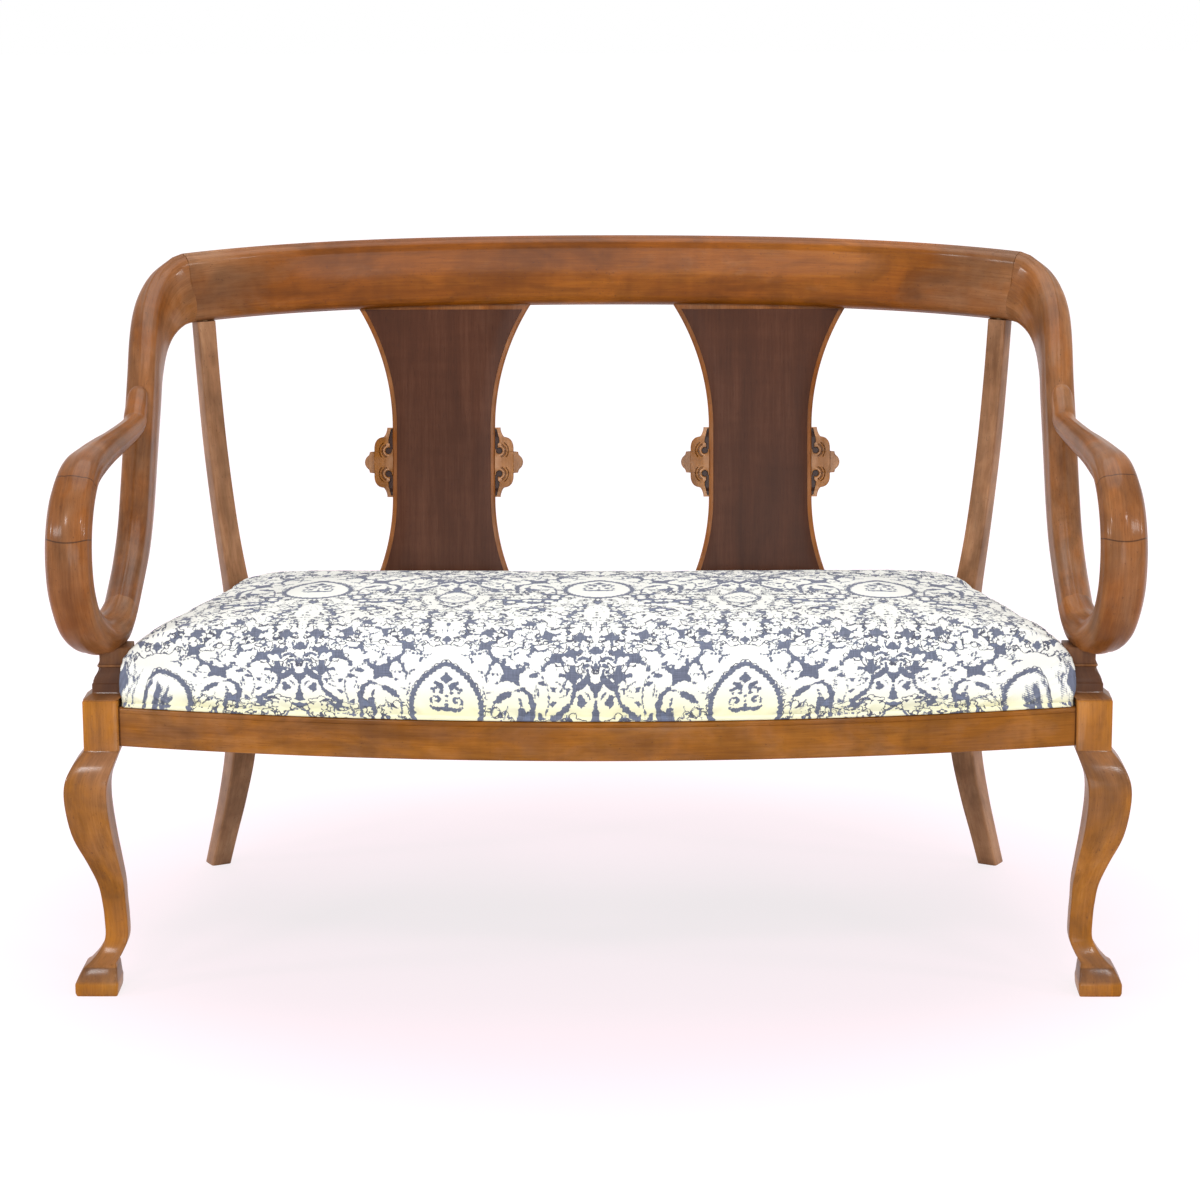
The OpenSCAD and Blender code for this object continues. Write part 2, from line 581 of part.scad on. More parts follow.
// Corner blocks: plan points of the right-hand pair, clear of the rails and the legs
side_way = unit(side_run);
side_norm = [side_way[1], -side_way[0]];
function side_line_x(y, inward) = side_front_x - inward / side_norm[0]
    + (y - block_w) * side_run[0] / side_run[1];
function side_inner_x(y) = side_line_x(y, side_rail_t);
function bow_inner_y(x, slack) = bow_front + bow_r
    - sqrt(pow(bow_r - front_rail_t - slack, 2) - pow(x, 2));
front_block_x = side_inner_x(block_w) - 2 * gap;
front_block_plan = [[front_block_x, bow_inner_y(front_block_x, gap)],
    [side_inner_x(block_w) - 2 * gap, block_w],
    [side_inner_x(block_w + corner_w) - 2 * gap, block_w + corner_w],
    [front_block_x - corner_w, bow_inner_y(front_block_x - corner_w, gap)]];
rear_block_y = seat_d - gap;
rear_block_x = post_x - post_w * 1.1;
rear_block_plan = [[rear_block_x, rear_block_y], [rear_block_x - corner_w, rear_block_y],
    [side_inner_x(rear_block_y - corner_w) - 2 * gap, rear_block_y - corner_w],
    [side_inner_x(seat_d - post_w) - 2 * gap, seat_d - post_w]];
block_inset = rail_h / 6;

// Screws through the corner blocks: where each meets the rail's face, and the way it points
front_screw_x = front_block_x - corner_w * 0.55;
front_screw_y = block_w + corner_w * 0.4;
rear_screw_x = rear_block_x - corner_w * 0.35;
rear_screw_y = rear_block_y - corner_w * 0.75;
screws = [[front_screw_x, bow_inner_y(front_screw_x, 0), 0, -1],
    [side_inner_x(front_screw_y), front_screw_y, side_norm[0], side_norm[1]],
    [rear_screw_x, seat_d, 0, 1],
    [side_inner_x(rear_screw_y), rear_screw_y, side_norm[0], side_norm[1]]];
screw_core = screw_d * 0.7;
screw_l = 45;
screw_grip = side_rail_t / 2;
screw_head_h = screw_d * 0.6;
// The screws' shanks as bars of a diameter, with heads when there is a head diameter
module corner_screw_set(d, head_d, reach = 0) for (s = screws)
    translate([s[0], s[1], rail_low + rail_h / 2]) rotate([0, 90, atan2(s[3], s[2])]) {
        translate([0, 0, -screw_l + screw_grip]) cylinder(h = screw_l, d = d, $fn = bore_fn);
        if (head_d > 0) translate([0, 0, screw_grip - screw_l - screw_head_h - reach])
            cylinder(h = screw_head_h + reach, d = head_d, $fn = bore_fn);
    }
module corner_pair(plan) color(pale_wood) centred() for (side = [-1, 1]) on_side(side) difference() {
    translate([0, 0, rail_low + block_inset]) linear_extrude(rail_h - 2 * block_inset) polygon(plan);
    corner_screw_set(screw_d + gap, 2 * screw_d + gap, corner_w);
}
module corner_blocks_front() corner_pair(front_block_plan);
module corner_blocks_rear() corner_pair(rear_block_plan);
module corner_screws() color(steel) centred() for (side = [-1, 1]) on_side(side)
    corner_screw_set(screw_core, 2 * screw_d);

// Webbing under the rails, two layers, with the springs over its crossings
spring_pitch_x = 230;
spring_pitch_y = 190;
spring_mid_y = 245;
cross_z = rail_low - gap - web_t;
long_z = cross_z - gap - web_t;
module webbing_cross() color(jute) centred() for (k = [-1 : 2])
    translate([0, 0, cross_z]) linear_extrude(web_t) let (y1 = spring_mid_y
        + k * spring_pitch_y / 2 - web_w / 2, y2 = y1 + web_w,
        x1 = side_line_x(y1, side_rail_t / 2), x2 = side_line_x(y2, side_rail_t / 2))
        polygon([[-x1, y1], [x1, y1], [x2, y2], [-x2, y2]]);
module webbing_long() color(jute) centred() for (k = [-spring_cols + 1 : spring_cols - 1])
    let (x = k * spring_pitch_x / 2, y1 = bow_y(abs(x) + web_w / 2) + front_rail_t / 3)
    translate([x - web_w / 2, y1, long_z]) cube([web_w, back_rail_y - y1, web_t]);

// Hourglass springs, eight rings of wire to a turn
spring_low = rail_low + wire_d / 2;
spring_turns = 4;
turn_steps = 8;
waist_share = 0.72;
cloth_t = 1.5;
cloth_z = rail_top + crown_h * 0.53;
spring_high = cloth_z - gap - wire_d / 2;
function spring_spot(f) = let (a = 360 * spring_turns * f,
    r = spring_r * (waist_share + (1 - waist_share) * pow(abs(2 * f - 1), 1.5)))
    [r * cos(a), r * sin(a), mix(spring_low, spring_high, f)];
spring_gap = (spring_high - spring_low) / spring_turns - wire_d;
echo(least_gap_between_spring_turns = spring_gap);
module spring() {
    n = spring_turns * turn_steps;
    skin([for (i = [0 : n]) let (p = spring_spot(i / n), a = 360 * i / turn_steps,
        t = unit(spring_spot((i + 0.5) / n) - spring_spot((i - 0.5) / n)),
        u = unit([cos(a), sin(a), 0] - t * ([cos(a), sin(a), 0] * t)))
        ring(p, u, cross(t, u), [for (k = [0 : 5]) wire_d / 2 * [cos(60 * k), sin(60 * k)]])]);
}
module coil_springs() color(steel) centred()
    for (i = [0 : spring_cols - 1]) for (j = [0 : spring_rows - 1])
    translate([(i - (spring_cols - 1) / 2) * spring_pitch_x,
        spring_mid_y + (j - (spring_rows - 1) / 2) * spring_pitch_y, 0]) spring();

// Plan of the seat cover's right half from the front's middle to the back's middle: close round
// the necks and posts at the hem, and eased where the seat has risen clear of them
hem_z = rail_top + gap;
front_steps = 8;
ease = 2;
cover_x = block_in - 2 * ease;
notch_x = neck_x - neck_w / 2 - ease;
notch_y = neck_y - neck_d / 2 - 5 * ease;
notch_end_y = neck_y + neck_d / 2 + ease;
function hem_front_y(x) = bow_front + bow_r - sqrt(pow(bow_r - hem_inset, 2) - pow(x, 2));
back_edge_y = seat_d + ease;
side_inset = hem_inset + ease;
hem_front = [for (i = [0 : front_steps]) let (x = cover_x * i / front_steps) [x, hem_front_y(x)]];
hem_side = [[cover_x, notch_y], [notch_x, notch_y + ease], [notch_x, notch_end_y],
    [side_line_x(notch_end_y + 3 * ease, side_inset), notch_end_y + 3 * ease],
    [side_line_x(seat_d / 2, side_inset), seat_d / 2],
    [side_line_x(seat_d - post_w, side_inset), seat_d - post_w],
    [post_x - post_w * 0.3, seat_d - post_w], [post_x - post_w * 0.75, seat_d - post_w * 0.25],
    [post_x - post_w * 0.8, back_edge_y]];
rise_side = [[cover_x - ease, notch_y + 4 * ease], [cover_x, notch_y + 7 * ease],
    [cover_x, notch_end_y - 4 * ease],
    [side_line_x(notch_end_y + 6 * ease, side_inset), notch_end_y + 6 * ease],
    [side_line_x(seat_d / 2, side_inset), seat_d / 2],
    [side_line_x(seat_d - post_w * 1.2, side_inset), seat_d - post_w * 1.2],
    [post_x - post_w * 0.05, seat_d - post_w * 0.6], [post_x - post_w * 0.4, seat_d - post_w * 0.15],
    [post_x - post_w * 0.8, back_edge_y]];
back_steps = 4;
hem_back = [for (i = [1 : back_steps]) [(post_x - post_w * 0.8) * (1 - i / back_steps), back_edge_y]];
function whole(half) = concat(half, [for (i = [len(half) - 2 : -1 : 1]) [-half[i][0], half[i][1]]]);
hem_plan = whole(concat(hem_front, hem_side, hem_back));
rise_plan = whole(concat(hem_front, rise_side, hem_back));
// A plan moved inward by a distance, each corner along its mitre
function inset_plan(plan, d) = d == 0 ? plan : [for (i = [0 : len(plan) - 1])
    let (n = len(plan), a = unit(plan[i] - plan[(i + n - 1) % n]), b = unit(plan[(i + 1) % n] - plan[i]),
        m = unit([-a[1], a[0]] + [-b[1], b[0]])) plan[i] + m * d / max(0.5, m * [-a[1], a[0]])];
// Rows over the seat: scale of the plan, share of the crown's height, share of the eased plan
seat_shares = [[1, 0, 0], [1, 0.075, 0], [1.006, 0.2, 0.2], [1.006, 0.40, 0.5], [0.997, 0.58, 1], [0.972, 0.71, 1],
    [0.93, 0.80, 1], [0.86, 0.86, 1], [0.72, 0.93, 1], [0.48, 0.98, 1], [0.22, 1, 1]];
seat_mid_y = (bow_front + seat_d) / 2;
back_fall = 0.32;
function crown_z(y, share) = hem_z + crown_h * share
    * (1 - back_fall * (y - bow_front) / (seat_d - bow_front));
function dome(d, low) = let (a = inset_plan(hem_plan, d), b = inset_plan(rise_plan, d))
    [for (s = seat_shares) [for (i = [0 : len(a) - 1]) let (p = mix(a[i], b[i], s[2]),
        x = p[0] * s[0], y = seat_mid_y + (p[1] - seat_mid_y) * s[0])
        [x, y, s[1] == 0 ? hem_z - low : crown_z(y, s[1]) - d]]];
module spring_room(reach) linear_extrude(reach) polygon([for (p = rise_plan)
    [p[0] * 0.86, seat_mid_y + (p[1] - seat_mid_y) * 0.84]]);

module spring_cloth() color(jute) centred() translate([0, 0, cloth_z]) linear_extrude(cloth_t)
    polygon([for (p = rise_plan) [p[0] * 0.85, seat_mid_y + (p[1] - seat_mid_y) * 0.83]]);
module seat_padding() color(hair) centred() difference() {
    skin(dome(cover_t + gap, 0));
    translate([0, 0, hem_z - over]) spring_room(cloth_z + cloth_t + gap - hem_z + over);
}
module seat_cover() color(cream) centred() difference() {
    skin(dome(0, 0));
    skin(dome(cover_t, over));
}

// The welt along the hem: a bowed run in front and a straight one on each side
welt_z = hem_z + welt_d / 2 + gap;
module seat_welt() color(slate) centred() {
    half = asin((cover_x - ease) / bow_r);
    translate([0, bow_front + bow_r, welt_z]) rotate([0, 0, -90 - half])
        rotate_extrude(angle = 2 * half, $fn = arc_fn)
        translate([bow_r - hem_inset + 2 * welt_off - welt_d / 2, 0]) circle(d = welt_d, $fn = round_fn);
    for (side = [-1, 1]) on_side(side) translate([side_line_x(notch_end_y + 3 * ease,
        side_inset - 2 * welt_off + welt_d / 2), notch_end_y + 3 * ease, welt_z])
        rotate([0, 90, atan2(side_way[1], side_way[0])])
        cylinder(h = (seat_d - post_w - notch_end_y - 6 * ease) / side_way[1], d = welt_d,
            $fn = round_fn);
}

// The dust cloth under the frame
dust_t = 0.8;
dust_inset = 8;
module dust_cloth() color(black_cloth) centred() translate([0, 0, long_z - gap - dust_t])
    linear_extrude(dust_t) polygon(whole(concat(
        [for (i = [0 : front_steps]) let (x = (block_in - dust_inset) * i / front_steps)
            [x, bow_y(x) + dust_inset]],
        [[block_in - dust_inset, block_w + dust_inset],
        [side_line_x(block_w + 2 * dust_inset, dust_inset), block_w + 2 * dust_inset],
        [side_line_x(seat_d - post_w, dust_inset), seat_d - post_w],
        [post_x - post_w, seat_d - post_w], [post_x - post_w, back_rail_y + dust_inset / 2],
        [0, back_rail_y + dust_inset / 2]])));

front_rail();
back_rail();
side_rail_left();
side_rail_right();
front_leg_left();
front_leg_right();
rear_leg_left();
rear_leg_right();
crest_rail();
arm_stile_left();
arm_stile_right();
scroll_arm_left();
scroll_arm_right();
thumb_plug_left();
thumb_plug_right();
splat_left();
splat_right();
splat_facing_left();
splat_facing_right();
carving_left_outer();
carving_left_inner();
carving_right_outer();
carving_right_inner();
corner_blocks_front();
corner_blocks_rear();
corner_screws();
joint_dowels();
webbing_long();
webbing_cross();
coil_springs();
spring_cloth();
seat_padding();
seat_cover();
seat_welt();
dust_cloth();
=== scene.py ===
from itertools import product
import bpy
import numpy as np
from mathutils import Matrix, Vector


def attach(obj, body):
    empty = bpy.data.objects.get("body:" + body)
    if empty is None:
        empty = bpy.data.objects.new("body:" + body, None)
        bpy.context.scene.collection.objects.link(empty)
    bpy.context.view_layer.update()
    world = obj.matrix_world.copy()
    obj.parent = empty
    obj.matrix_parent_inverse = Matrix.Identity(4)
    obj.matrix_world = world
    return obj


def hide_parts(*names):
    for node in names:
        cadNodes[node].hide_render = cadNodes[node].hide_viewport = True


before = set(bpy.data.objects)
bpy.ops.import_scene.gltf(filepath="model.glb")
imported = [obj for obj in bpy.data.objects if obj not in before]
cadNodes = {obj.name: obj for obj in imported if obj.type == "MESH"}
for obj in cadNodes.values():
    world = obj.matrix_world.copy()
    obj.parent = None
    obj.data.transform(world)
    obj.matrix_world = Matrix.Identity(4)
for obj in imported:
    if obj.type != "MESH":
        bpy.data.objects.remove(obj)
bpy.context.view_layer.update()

# Two-seat settee. Lengths are in millimetres, measured back from the front faces of the blocks, and
# makePiece turns them into the frame's metres. The camera, the studio and all finishes but the
# damask use metres
print("frame loaded:", len(cadNodes), "solids")

whole = {"midY": 267.1, "spanW": 1236, "railTop": 357, "railH": 48, "railT": 26, "blockW": 43,
         "blockH": 62, "blockRise": 9, "overallH": 850, "seatD": 495}
blockTop = whole["railTop"] + whole["blockRise"]
blockLow = blockTop - whole["blockH"]
blockIn = whole["spanW"] / 2 - whole["blockW"]
legX = (whole["spanW"] - whole["blockW"]) / 2
railLow = whole["railTop"] - whole["railH"]
bothSides = ((1, "right"), (-1, "left"))


def toFrame(points):
    return (np.asarray(points, float) - (0, whole["midY"], 0)) / 1000


def mix(a, b, t):
    return a + (b - a) * t


def smoothStep(x, low, high):
    t = np.clip((x - low) / (high - low), 0, 1)
    return t * t * (3 - 2 * t)


def unit(vectors):
    return vectors / np.linalg.norm(vectors, axis=-1, keepdims=True)


def column(values):
    return np.atleast_1d(np.asarray(values, float))[:, None]


# How far along a line of points each of them lies
def runLength(points):
    return np.r_[0, np.cumsum(np.linalg.norm(np.diff(points, axis=0), axis=1))]


# Rows led by a smooth cubic through every row, in so many steps from one row to the next
def smoothRows(rows, steps):
    p = np.asarray(rows, float)
    p = np.vstack([p[:1], p, p[-1:]])
    a, b, c, d = p[:-3, None], p[1:-2, None], p[2:-1, None], p[3:, None]
    t = (np.arange(steps) / steps)[None, :, None]
    out = 0.5 * (2 * b + (c - a) * t + (2 * a - 5 * b + 4 * c - d) * t**2
                 + (3 * b - a - 3 * c + d) * t**3)
    return np.vstack([out.reshape(-1, p.shape[1]), p[-1:]])


# Points of a broken line, with so many straight steps between two of them
def chain(points, between=6):
    p = np.asarray(points, float)
    t = np.linspace(0, len(p) - 1, (len(p) - 1) * between + 1)
    i = np.minimum(t.astype(int), len(p) - 2)
    return mix(p[i], p[i + 1], column(t - i))


# Outlines of rounded rectangles, one for each half size hu, hv and corner radius: a quarter
# circle at each corner, then a side that bulges by the crown at its middle
def roundOutline(hu, hv, radius, crown=0.0, corner=7, side=5):
    hu, hv, radius, crown = (column(q) for q in (hu, hv, radius, crown))
    parts = []
    for quarter in range(4):
        su, sv = (1, -1, -1, 1)[quarter], (1, 1, -1, -1)[quarter]
        turn = np.radians(90 * (quarter + np.linspace(0, 1, corner)))[None, :]
        u = su * (hu - radius) + radius * np.cos(turn)
        v = sv * (hv - radius) + radius * np.sin(turn)
        t = np.linspace(0, 1, side + 2)[None, 1:-1]
        bulge = crown * 4 * t * (1 - t)
        if quarter % 2 == 0:  # along the top or bottom, from one corner to the next
            sideU = mix(su * (hu - radius), -su * (hu - radius), t)
            sideV = sv * (hv + bulge)
        else:
            sideU = su * (hu + bulge)
            sideV = mix(sv * (hv - radius), -sv * (hv - radius), t)
        parts += [np.stack([u, v], -1), np.stack([sideU + 0 * t, sideV + 0 * t], -1)]
    return np.concatenate(parts, 1)


# The square from -1 to 1 as a grid over a and b, and the share of the way from its middle to its rim
def squareGrid(rows, columns):
    b, a = np.meshgrid(np.linspace(-1, 1, rows), np.linspace(-1, 1, columns), indexing="ij")
    return a, b, np.maximum(np.maximum(np.abs(a), np.abs(b)), 1e-6)


# The points around the rim of a grid
def rimOf(rows, columns):
    index = np.arange(rows * columns).reshape(rows, columns)
    return np.concatenate([index[0, :-1], index[:-1, -1], index[-1, :0:-1], index[:0:-1, 0]])


# A grid's values at fractional rows y and columns x, mixed from the four points around
def readGrid(values, y, x, eased=False):
    i, j = np.minimum(y.astype(int), len(values) - 2), np.minimum(x.astype(int), len(values[0]) - 2)
    s, t = y - i, x - j
    if eased:
        s, t = smoothStep(s, 0, 1), smoothStep(t, 0, 1)
    return mix(mix(values[i, j], values[i, j + 1], t), mix(values[i + 1, j], values[i + 1, j + 1], t), s)


# Quads between neighbouring rows of a grid of m by n points, closed around when asked
def gridQuads(m, n, closed=False):
    i, j = np.meshgrid(np.arange(m - 1), np.arange(n if closed else n - 1), indexing="ij")
    k = (j + 1) % n
    return np.stack([i * n + j, i * n + k, (i + 1) * n + k, (i + 1) * n + j], -1).reshape(-1, 4)


# Faces of a closed solid through m rings of n points, each end capped flat
def skinFaces(m, n):
    return gridQuads(m, n, True).tolist() + [list(range(n)), list(range((m - 1) * n, m * n))]


# Several ringed solids as the points and faces of one mesh
def joinSolids(solids):
    points, faces = [], []
    for rings in solids:
        base = sum(len(q) for q in points)
        faces += [[base + i for i in face] for face in skinFaces(*rings.shape[:2])]
        points.append(rings.reshape(-1, 3))
    return np.concatenate(points), faces


def signedVolume(points, faces):
    total = 0.0
    for size in {len(f) for f in faces}:
        f = np.array([q for q in faces if len(q) == size])
        for k in range(1, size - 1):
            total += np.einsum("ij,ij->i", points[f[:, 0]],
                               np.cross(points[f[:, k]], points[f[:, k + 1]])).sum()
    return total


def addObject(name, data):
    made = bpy.data.objects.new(name, data)
    bpy.context.scene.collection.objects.link(made)
    return made


# Numbers at the points of a mesh that its material reads
def setFields(mesh, fields):
    for word, values in fields.items():
        flat = np.empty(len(mesh.vertices), np.float32)
        flat[:] = np.ravel(values)
        mesh.attributes.new(word, "FLOAT", "POINT").data.foreach_set("value", flat)


# A mesh object that rides with the settee and stands for the CAD nodes named. Its grain is each
# point's place in the wood or the weave, lengthways first
def makePiece(name, points, faces, material, slot, replaced, grain=None, sharp=32, **fields):
    points = toFrame(points)
    faces = [list(map(int, f)) for f in faces]
    if signedVolume(points, faces) < 0:
        faces = [f[::-1] for f in faces]
    mesh = bpy.data.meshes.new(name)
    mesh.from_pydata(points.tolist(), [], faces)
    mesh.shade_smooth()
    if sharp:
        mesh.set_sharp_from_angle(angle=np.radians(sharp))
    if grain is not None:
        mesh.attributes.new("grain", "FLOAT_VECTOR", "POINT").data.foreach_set(
            "vector", (grain / 1000).astype(np.float32).ravel())
    setFields(mesh, fields)
    mesh.materials.append(material)
    piece = addObject(name, mesh)
    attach(piece, "root")
    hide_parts(*replaced)
    return piece


# A solid skinned over rings of points, with its grain moved on by an offset
def makeSolid(name, node, rings, grain, material, offset=(0, 0, 0), slot="show_wood", **options):
    makePiece(name, rings.reshape(-1, 3), skinFaces(*rings.shape[:2]), material, slot, [node],
              grain.reshape(-1, 3) + offset, **options)


def newNode(tree, kind, inputs=None, **settings):
    node = tree.nodes.new(kind)
    for key, value in settings.items():
        setattr(node, key, value)
    for key, value in (inputs or {}).items():
        if isinstance(value, bpy.types.NodeSocket):
            tree.links.new(value, node.inputs[key])
        else:
            node.inputs[key].default_value = value
    return node


# One output of a new node
def addNode(tree, kind, inputs=None, output=0, **settings):
    return newNode(tree, kind, inputs, **settings).outputs[output]


def attributeOf(tree, word, output="Fac"):
    return addNode(tree, "ShaderNodeAttribute", output=output, attribute_name=word)


def calc(tree, operation, a, b=0.0, c=0.0, clamp=False):
    return addNode(tree, "ShaderNodeMath", {0: a, 1: b, 2: c}, operation=operation, use_clamp=clamp)


# A start plus each value times its weight
def weightedSum(tree, start, *pairs):
    for value, weight in pairs:
        start = calc(tree, "MULTIPLY_ADD", value, weight, start)
    return start


def remap(tree, value, low, high, first, last, **settings):
    return addNode(tree, "ShaderNodeMapRange", {0: value, 1: low, 2: high, 3: first, 4: last}, **settings)


def blendColour(tree, factor, a, b, mode="MIX"):
    return addNode(tree, "ShaderNodeMix", {0: factor, 6: a, 7: b}, 2, data_type="RGBA", blend_type=mode)


def shadeBy(tree, colour, value):
    grey = addNode(tree, "ShaderNodeCombineColor", {0: value, 1: value, 2: value})
    return blendColour(tree, 1.0, colour, grey, "MULTIPLY")


def stretch(tree, vector, scales, turn=(0, 0, 0)):
    return addNode(tree, "ShaderNodeMapping", {"Vector": vector, "Scale": scales, "Rotation": turn})


def noiseAt(tree, vector, scales, detail, roughness, distortion=0.0):
    return addNode(tree, "ShaderNodeTexNoise", {"Vector": stretch(tree, vector, scales), "Scale": 1.0,
                   "Detail": detail, "Roughness": roughness, "Distortion": distortion})


def ramp(tree, factor, stops):
    node = newNode(tree, "ShaderNodeValToRGB", {0: factor})
    node.color_ramp.elements[0].position, node.color_ramp.elements[0].color = stops[0]
    node.color_ramp.elements[1].position, node.color_ramp.elements[1].color = stops[-1]
    for place, colour in stops[1:-1]:
        node.color_ramp.elements.new(place).color = colour
    return node.outputs[0]


# Two crossing directions of threads as one wave
def threadWave(tree, u, v, pitchU, pitchV):
    waves = [calc(tree, "SINE", calc(tree, "MULTIPLY", value, 2 * np.pi / pitch))
             for value, pitch in ((u, pitchU), (v, pitchV))]
    return calc(tree, "MULTIPLY", *waves)


def blankMaterial(name):
    material = bpy.data.materials.new(name)
    material.use_nodes = True
    return material, material.node_tree, material.node_tree.nodes["Principled BSDF"]


# Joins colour, roughness and bump to a shader and sets its plain numbers
def dressShader(tree, shader, colour, rough, height, strength, distance, numbers):
    bump = addNode(tree, "ShaderNodeBump", {"Strength": strength, "Distance": distance, "Height": height})
    for socket, value in (("Base Color", colour), ("Roughness", rough), ("Normal", bump)):
        tree.links.new(value, shader.inputs[socket])
    for socket, value in numbers.items():
        shader.inputs[socket].default_value = value


woodTones = {
    "amber": [(0.105, 0.026, 0.001, 1), (0.205, 0.056, 0.003, 1), (0.34, 0.112, 0.009, 1)],
    "rail": [(0.120, 0.037, 0.002, 1), (0.240, 0.080, 0.005, 1), (0.39, 0.152, 0.018, 1)],
    "brown": [(0.115, 0.044, 0.016, 1), (0.225, 0.098, 0.040, 1), (0.38, 0.185, 0.086, 1)],
    "honey": [(0.190, 0.061, 0.005, 1), (0.345, 0.125, 0.012, 1), (0.52, 0.218, 0.036, 1)],
    "veneer": [(0.034, 0.011, 0.005, 1), (0.062, 0.020, 0.009, 1), (0.108, 0.042, 0.022, 1)],
    # pale tones: painted sheen on the rear legs, and the pale parts of the carvings
    "sheenAndWear": [(0.27, 0.120, 0.055, 1), (0.42, 0.215, 0.110, 1), (0.56, 0.340, 0.200, 1)],
    # the darkest tones: glue lines, then painted shade and spots of wear
    "seamShadeWear": [(0.022, 0.008, 0.004, 1), (0.040, 0.015, 0.010, 1)],
    "raw": [(0.42, 0.27, 0.13, 1), (0.55, 0.38, 0.21, 1), (0.66, 0.49, 0.30, 1)],
}
toneStops = (0.28, 0.50, 0.74)
# layers of noise: scales along and across the grain, detail, roughness, distortion
woodNoise = {
    "figure": ((2.2, 22, 22), 5, 0.6, 0.6), "fibre": ((14, 420, 420), 4, 0.65),
    "pores": ((70, 1500, 1500), 2, 0.5), "blotch": ((5, 9, 9), 3, 0.5),
    "ripple": ((60, 12, 12), 2, 0.4, 0.8), "patina": ((14, 30, 30), 4, 0.6, 0.5),
    "clouds": ((11, 24, 24), 3, 0.55, 0.8), "wear": ((260, 420, 420), 2, 0.5),
}


# Lacquered wood. Grain runs along the first coordinate: the piece's own grain attribute, or
# Object coordinates turned so that the board's length comes first. The tone attribute, where a
# piece has one, goes from the first set of tones to the second, and painted shade, from its own
# attribute, darkens recesses, creases and joints. Seams are glue lines where an attribute has a value
def woodFinish(name, tones, otherTones=None, turn=None, gloss=0.38, coat=0.20, fleck=0.4, cloud=0.40,
               seams=()):
    material, tree, shader = blankMaterial(name)
    if turn is None:
        base = attributeOf(tree, "grain", "Vector")
    else:
        base = stretch(tree, addNode(tree, "ShaderNodeTexCoord", output="Object"), (1, 1, 1), turn)

    def noise(word):
        return noiseAt(tree, base, *woodNoise[word])

    fibre, blotch = noise("fibre"), noise("blotch")
    level = weightedSum(tree, -0.07, (noise("ripple"), 0.10), (blotch, 0.26), (fibre, 0.28),
                        (noise("figure"), 0.50))

    def toned(word):
        return ramp(tree, level, list(zip(toneStops, woodTones[word])))

    colour = toned(tones)
    if otherTones:
        patina = weightedSum(tree, -0.95, (noise("patina"), 1.9))
        tone = calc(tree, "ADD", attributeOf(tree, "tone"), patina, clamp=True)
        colour = blendColour(tree, tone, colour, toned(otherTones))
    colour = shadeBy(tree, colour, remap(tree, noise("clouds"), 0.36, 0.62, 1.14 - cloud, 1.14))
    pores = remap(tree, noise("pores"), 0.60, 0.74, 0.0, fleck)
    red, green, blue = woodTones[tones][0][:3]
    colour = blendColour(tree, pores, colour, (red * 0.5, green * 0.45, blue * 0.5, 1))
    darkest, hollow = woodTones["seamShadeWear"]
    for word, place in seams:
        gone = calc(tree, "ABSOLUTE", calc(tree, "SUBTRACT", attributeOf(tree, word), place))
        colour = blendColour(tree, remap(tree, gone, 0.0003, 0.0010, 0.75, 0.0), colour, darkest)
    # Painted shade from its attribute, then darker spots of wear
    colour = blendColour(tree, attributeOf(tree, "deep"), colour, hollow)
    colour = blendColour(tree, remap(tree, noise("wear"), 0.66, 0.74, 0.0, 0.45), colour, hollow)
    rough = remap(tree, blotch, 0.3, 0.7, gloss - 0.05, gloss + 0.07)
    height = weightedSum(tree, 0.0, (pores, -0.8), (fibre, 0.6))
    dressShader(tree, shader, colour, rough, height, 0.25, 0.0004,
                {"Specular IOR Level": 0.08, "Coat Weight": coat, "Coat Roughness": 0.15})
    return material


# Glue lines of the scrolls: two across, by the run along the arm's line in metres, which arches over
# its width, and one round the lap, by a distance that is scaled along and across
glue = {"runs": (1.355, 1.427), "arch": 4, "archHalf": 25, "lap": 0.016, "lapAlong": 17, "lapAcross": 16}
showWood = woodFinish("showWood", "amber", "brown")
legWood = woodFinish("legWood", "honey", "brown")
frontRailWood = woodFinish("frontRailWood", "rail", "brown")
scrollWood = woodFinish("scrollWood", "amber", "brown",
                        seams=(*(("run", run) for run in glue["runs"]), ("lap", glue["lap"])))
# The rear legs are part way to the pale tones, a painted sheen of their flat facets
rearWood = woodFinish("rearWood", "brown", "sheenAndWear")
carvedWood = woodFinish("carvedWood", "rail", "sheenAndWear", gloss=0.34)
darkVeneer = woodFinish("darkVeneer", "veneer", gloss=0.42, coat=0.08, fleck=0.5, cloud=0.16)
backRailWood = woodFinish("railWood", "brown", turn=(0, 0, 0), gloss=0.42, coat=0.1)
sideRailWood = woodFinish("sideRailWood", "brown", turn=(0, 0, np.pi / 2), gloss=0.42, coat=0.1)
plugWood = woodFinish("plugWood", "veneer", turn=(0, 0, 0), gloss=0.4)
rawWood = woodFinish("rawWood", "raw", turn=(0, 0, 0), gloss=0.6, coat=0.0, fleck=0.2)
print("wood finishes made")


view = {"place": (0.0724, -4.7412, 1.4926), "tilt": 12.628, "swing": 0.866, "roll": -0.2527,
        "lens": 115.5, "sensor": 36}


def placeCamera():
    tilt, swing, roll = np.radians([view["tilt"], view["swing"], view["roll"]])
    ahead = np.array([-np.sin(swing) * np.cos(tilt), np.cos(swing) * np.cos(tilt), -np.sin(tilt)])
    right = unit(np.cross(ahead, (0, 0, 1)))
    up = np.cross(right, ahead)
    right, up = (right * np.cos(roll) + up * np.sin(roll), up * np.cos(roll) - right * np.sin(roll))
    data = bpy.data.cameras.new("camera")
    data.lens, data.sensor_width, data.sensor_fit = view["lens"], view["sensor"], "HORIZONTAL"
    camera = addObject("camera", data)
    turned = Matrix(np.stack([right, up, -ahead], 1).tolist()).to_4x4()
    camera.matrix_world = Matrix.Translation(view["place"]) @ turned
    bpy.context.scene.camera = camera
    bpy.context.scene.view_settings.view_transform = "Standard"


placeCamera()


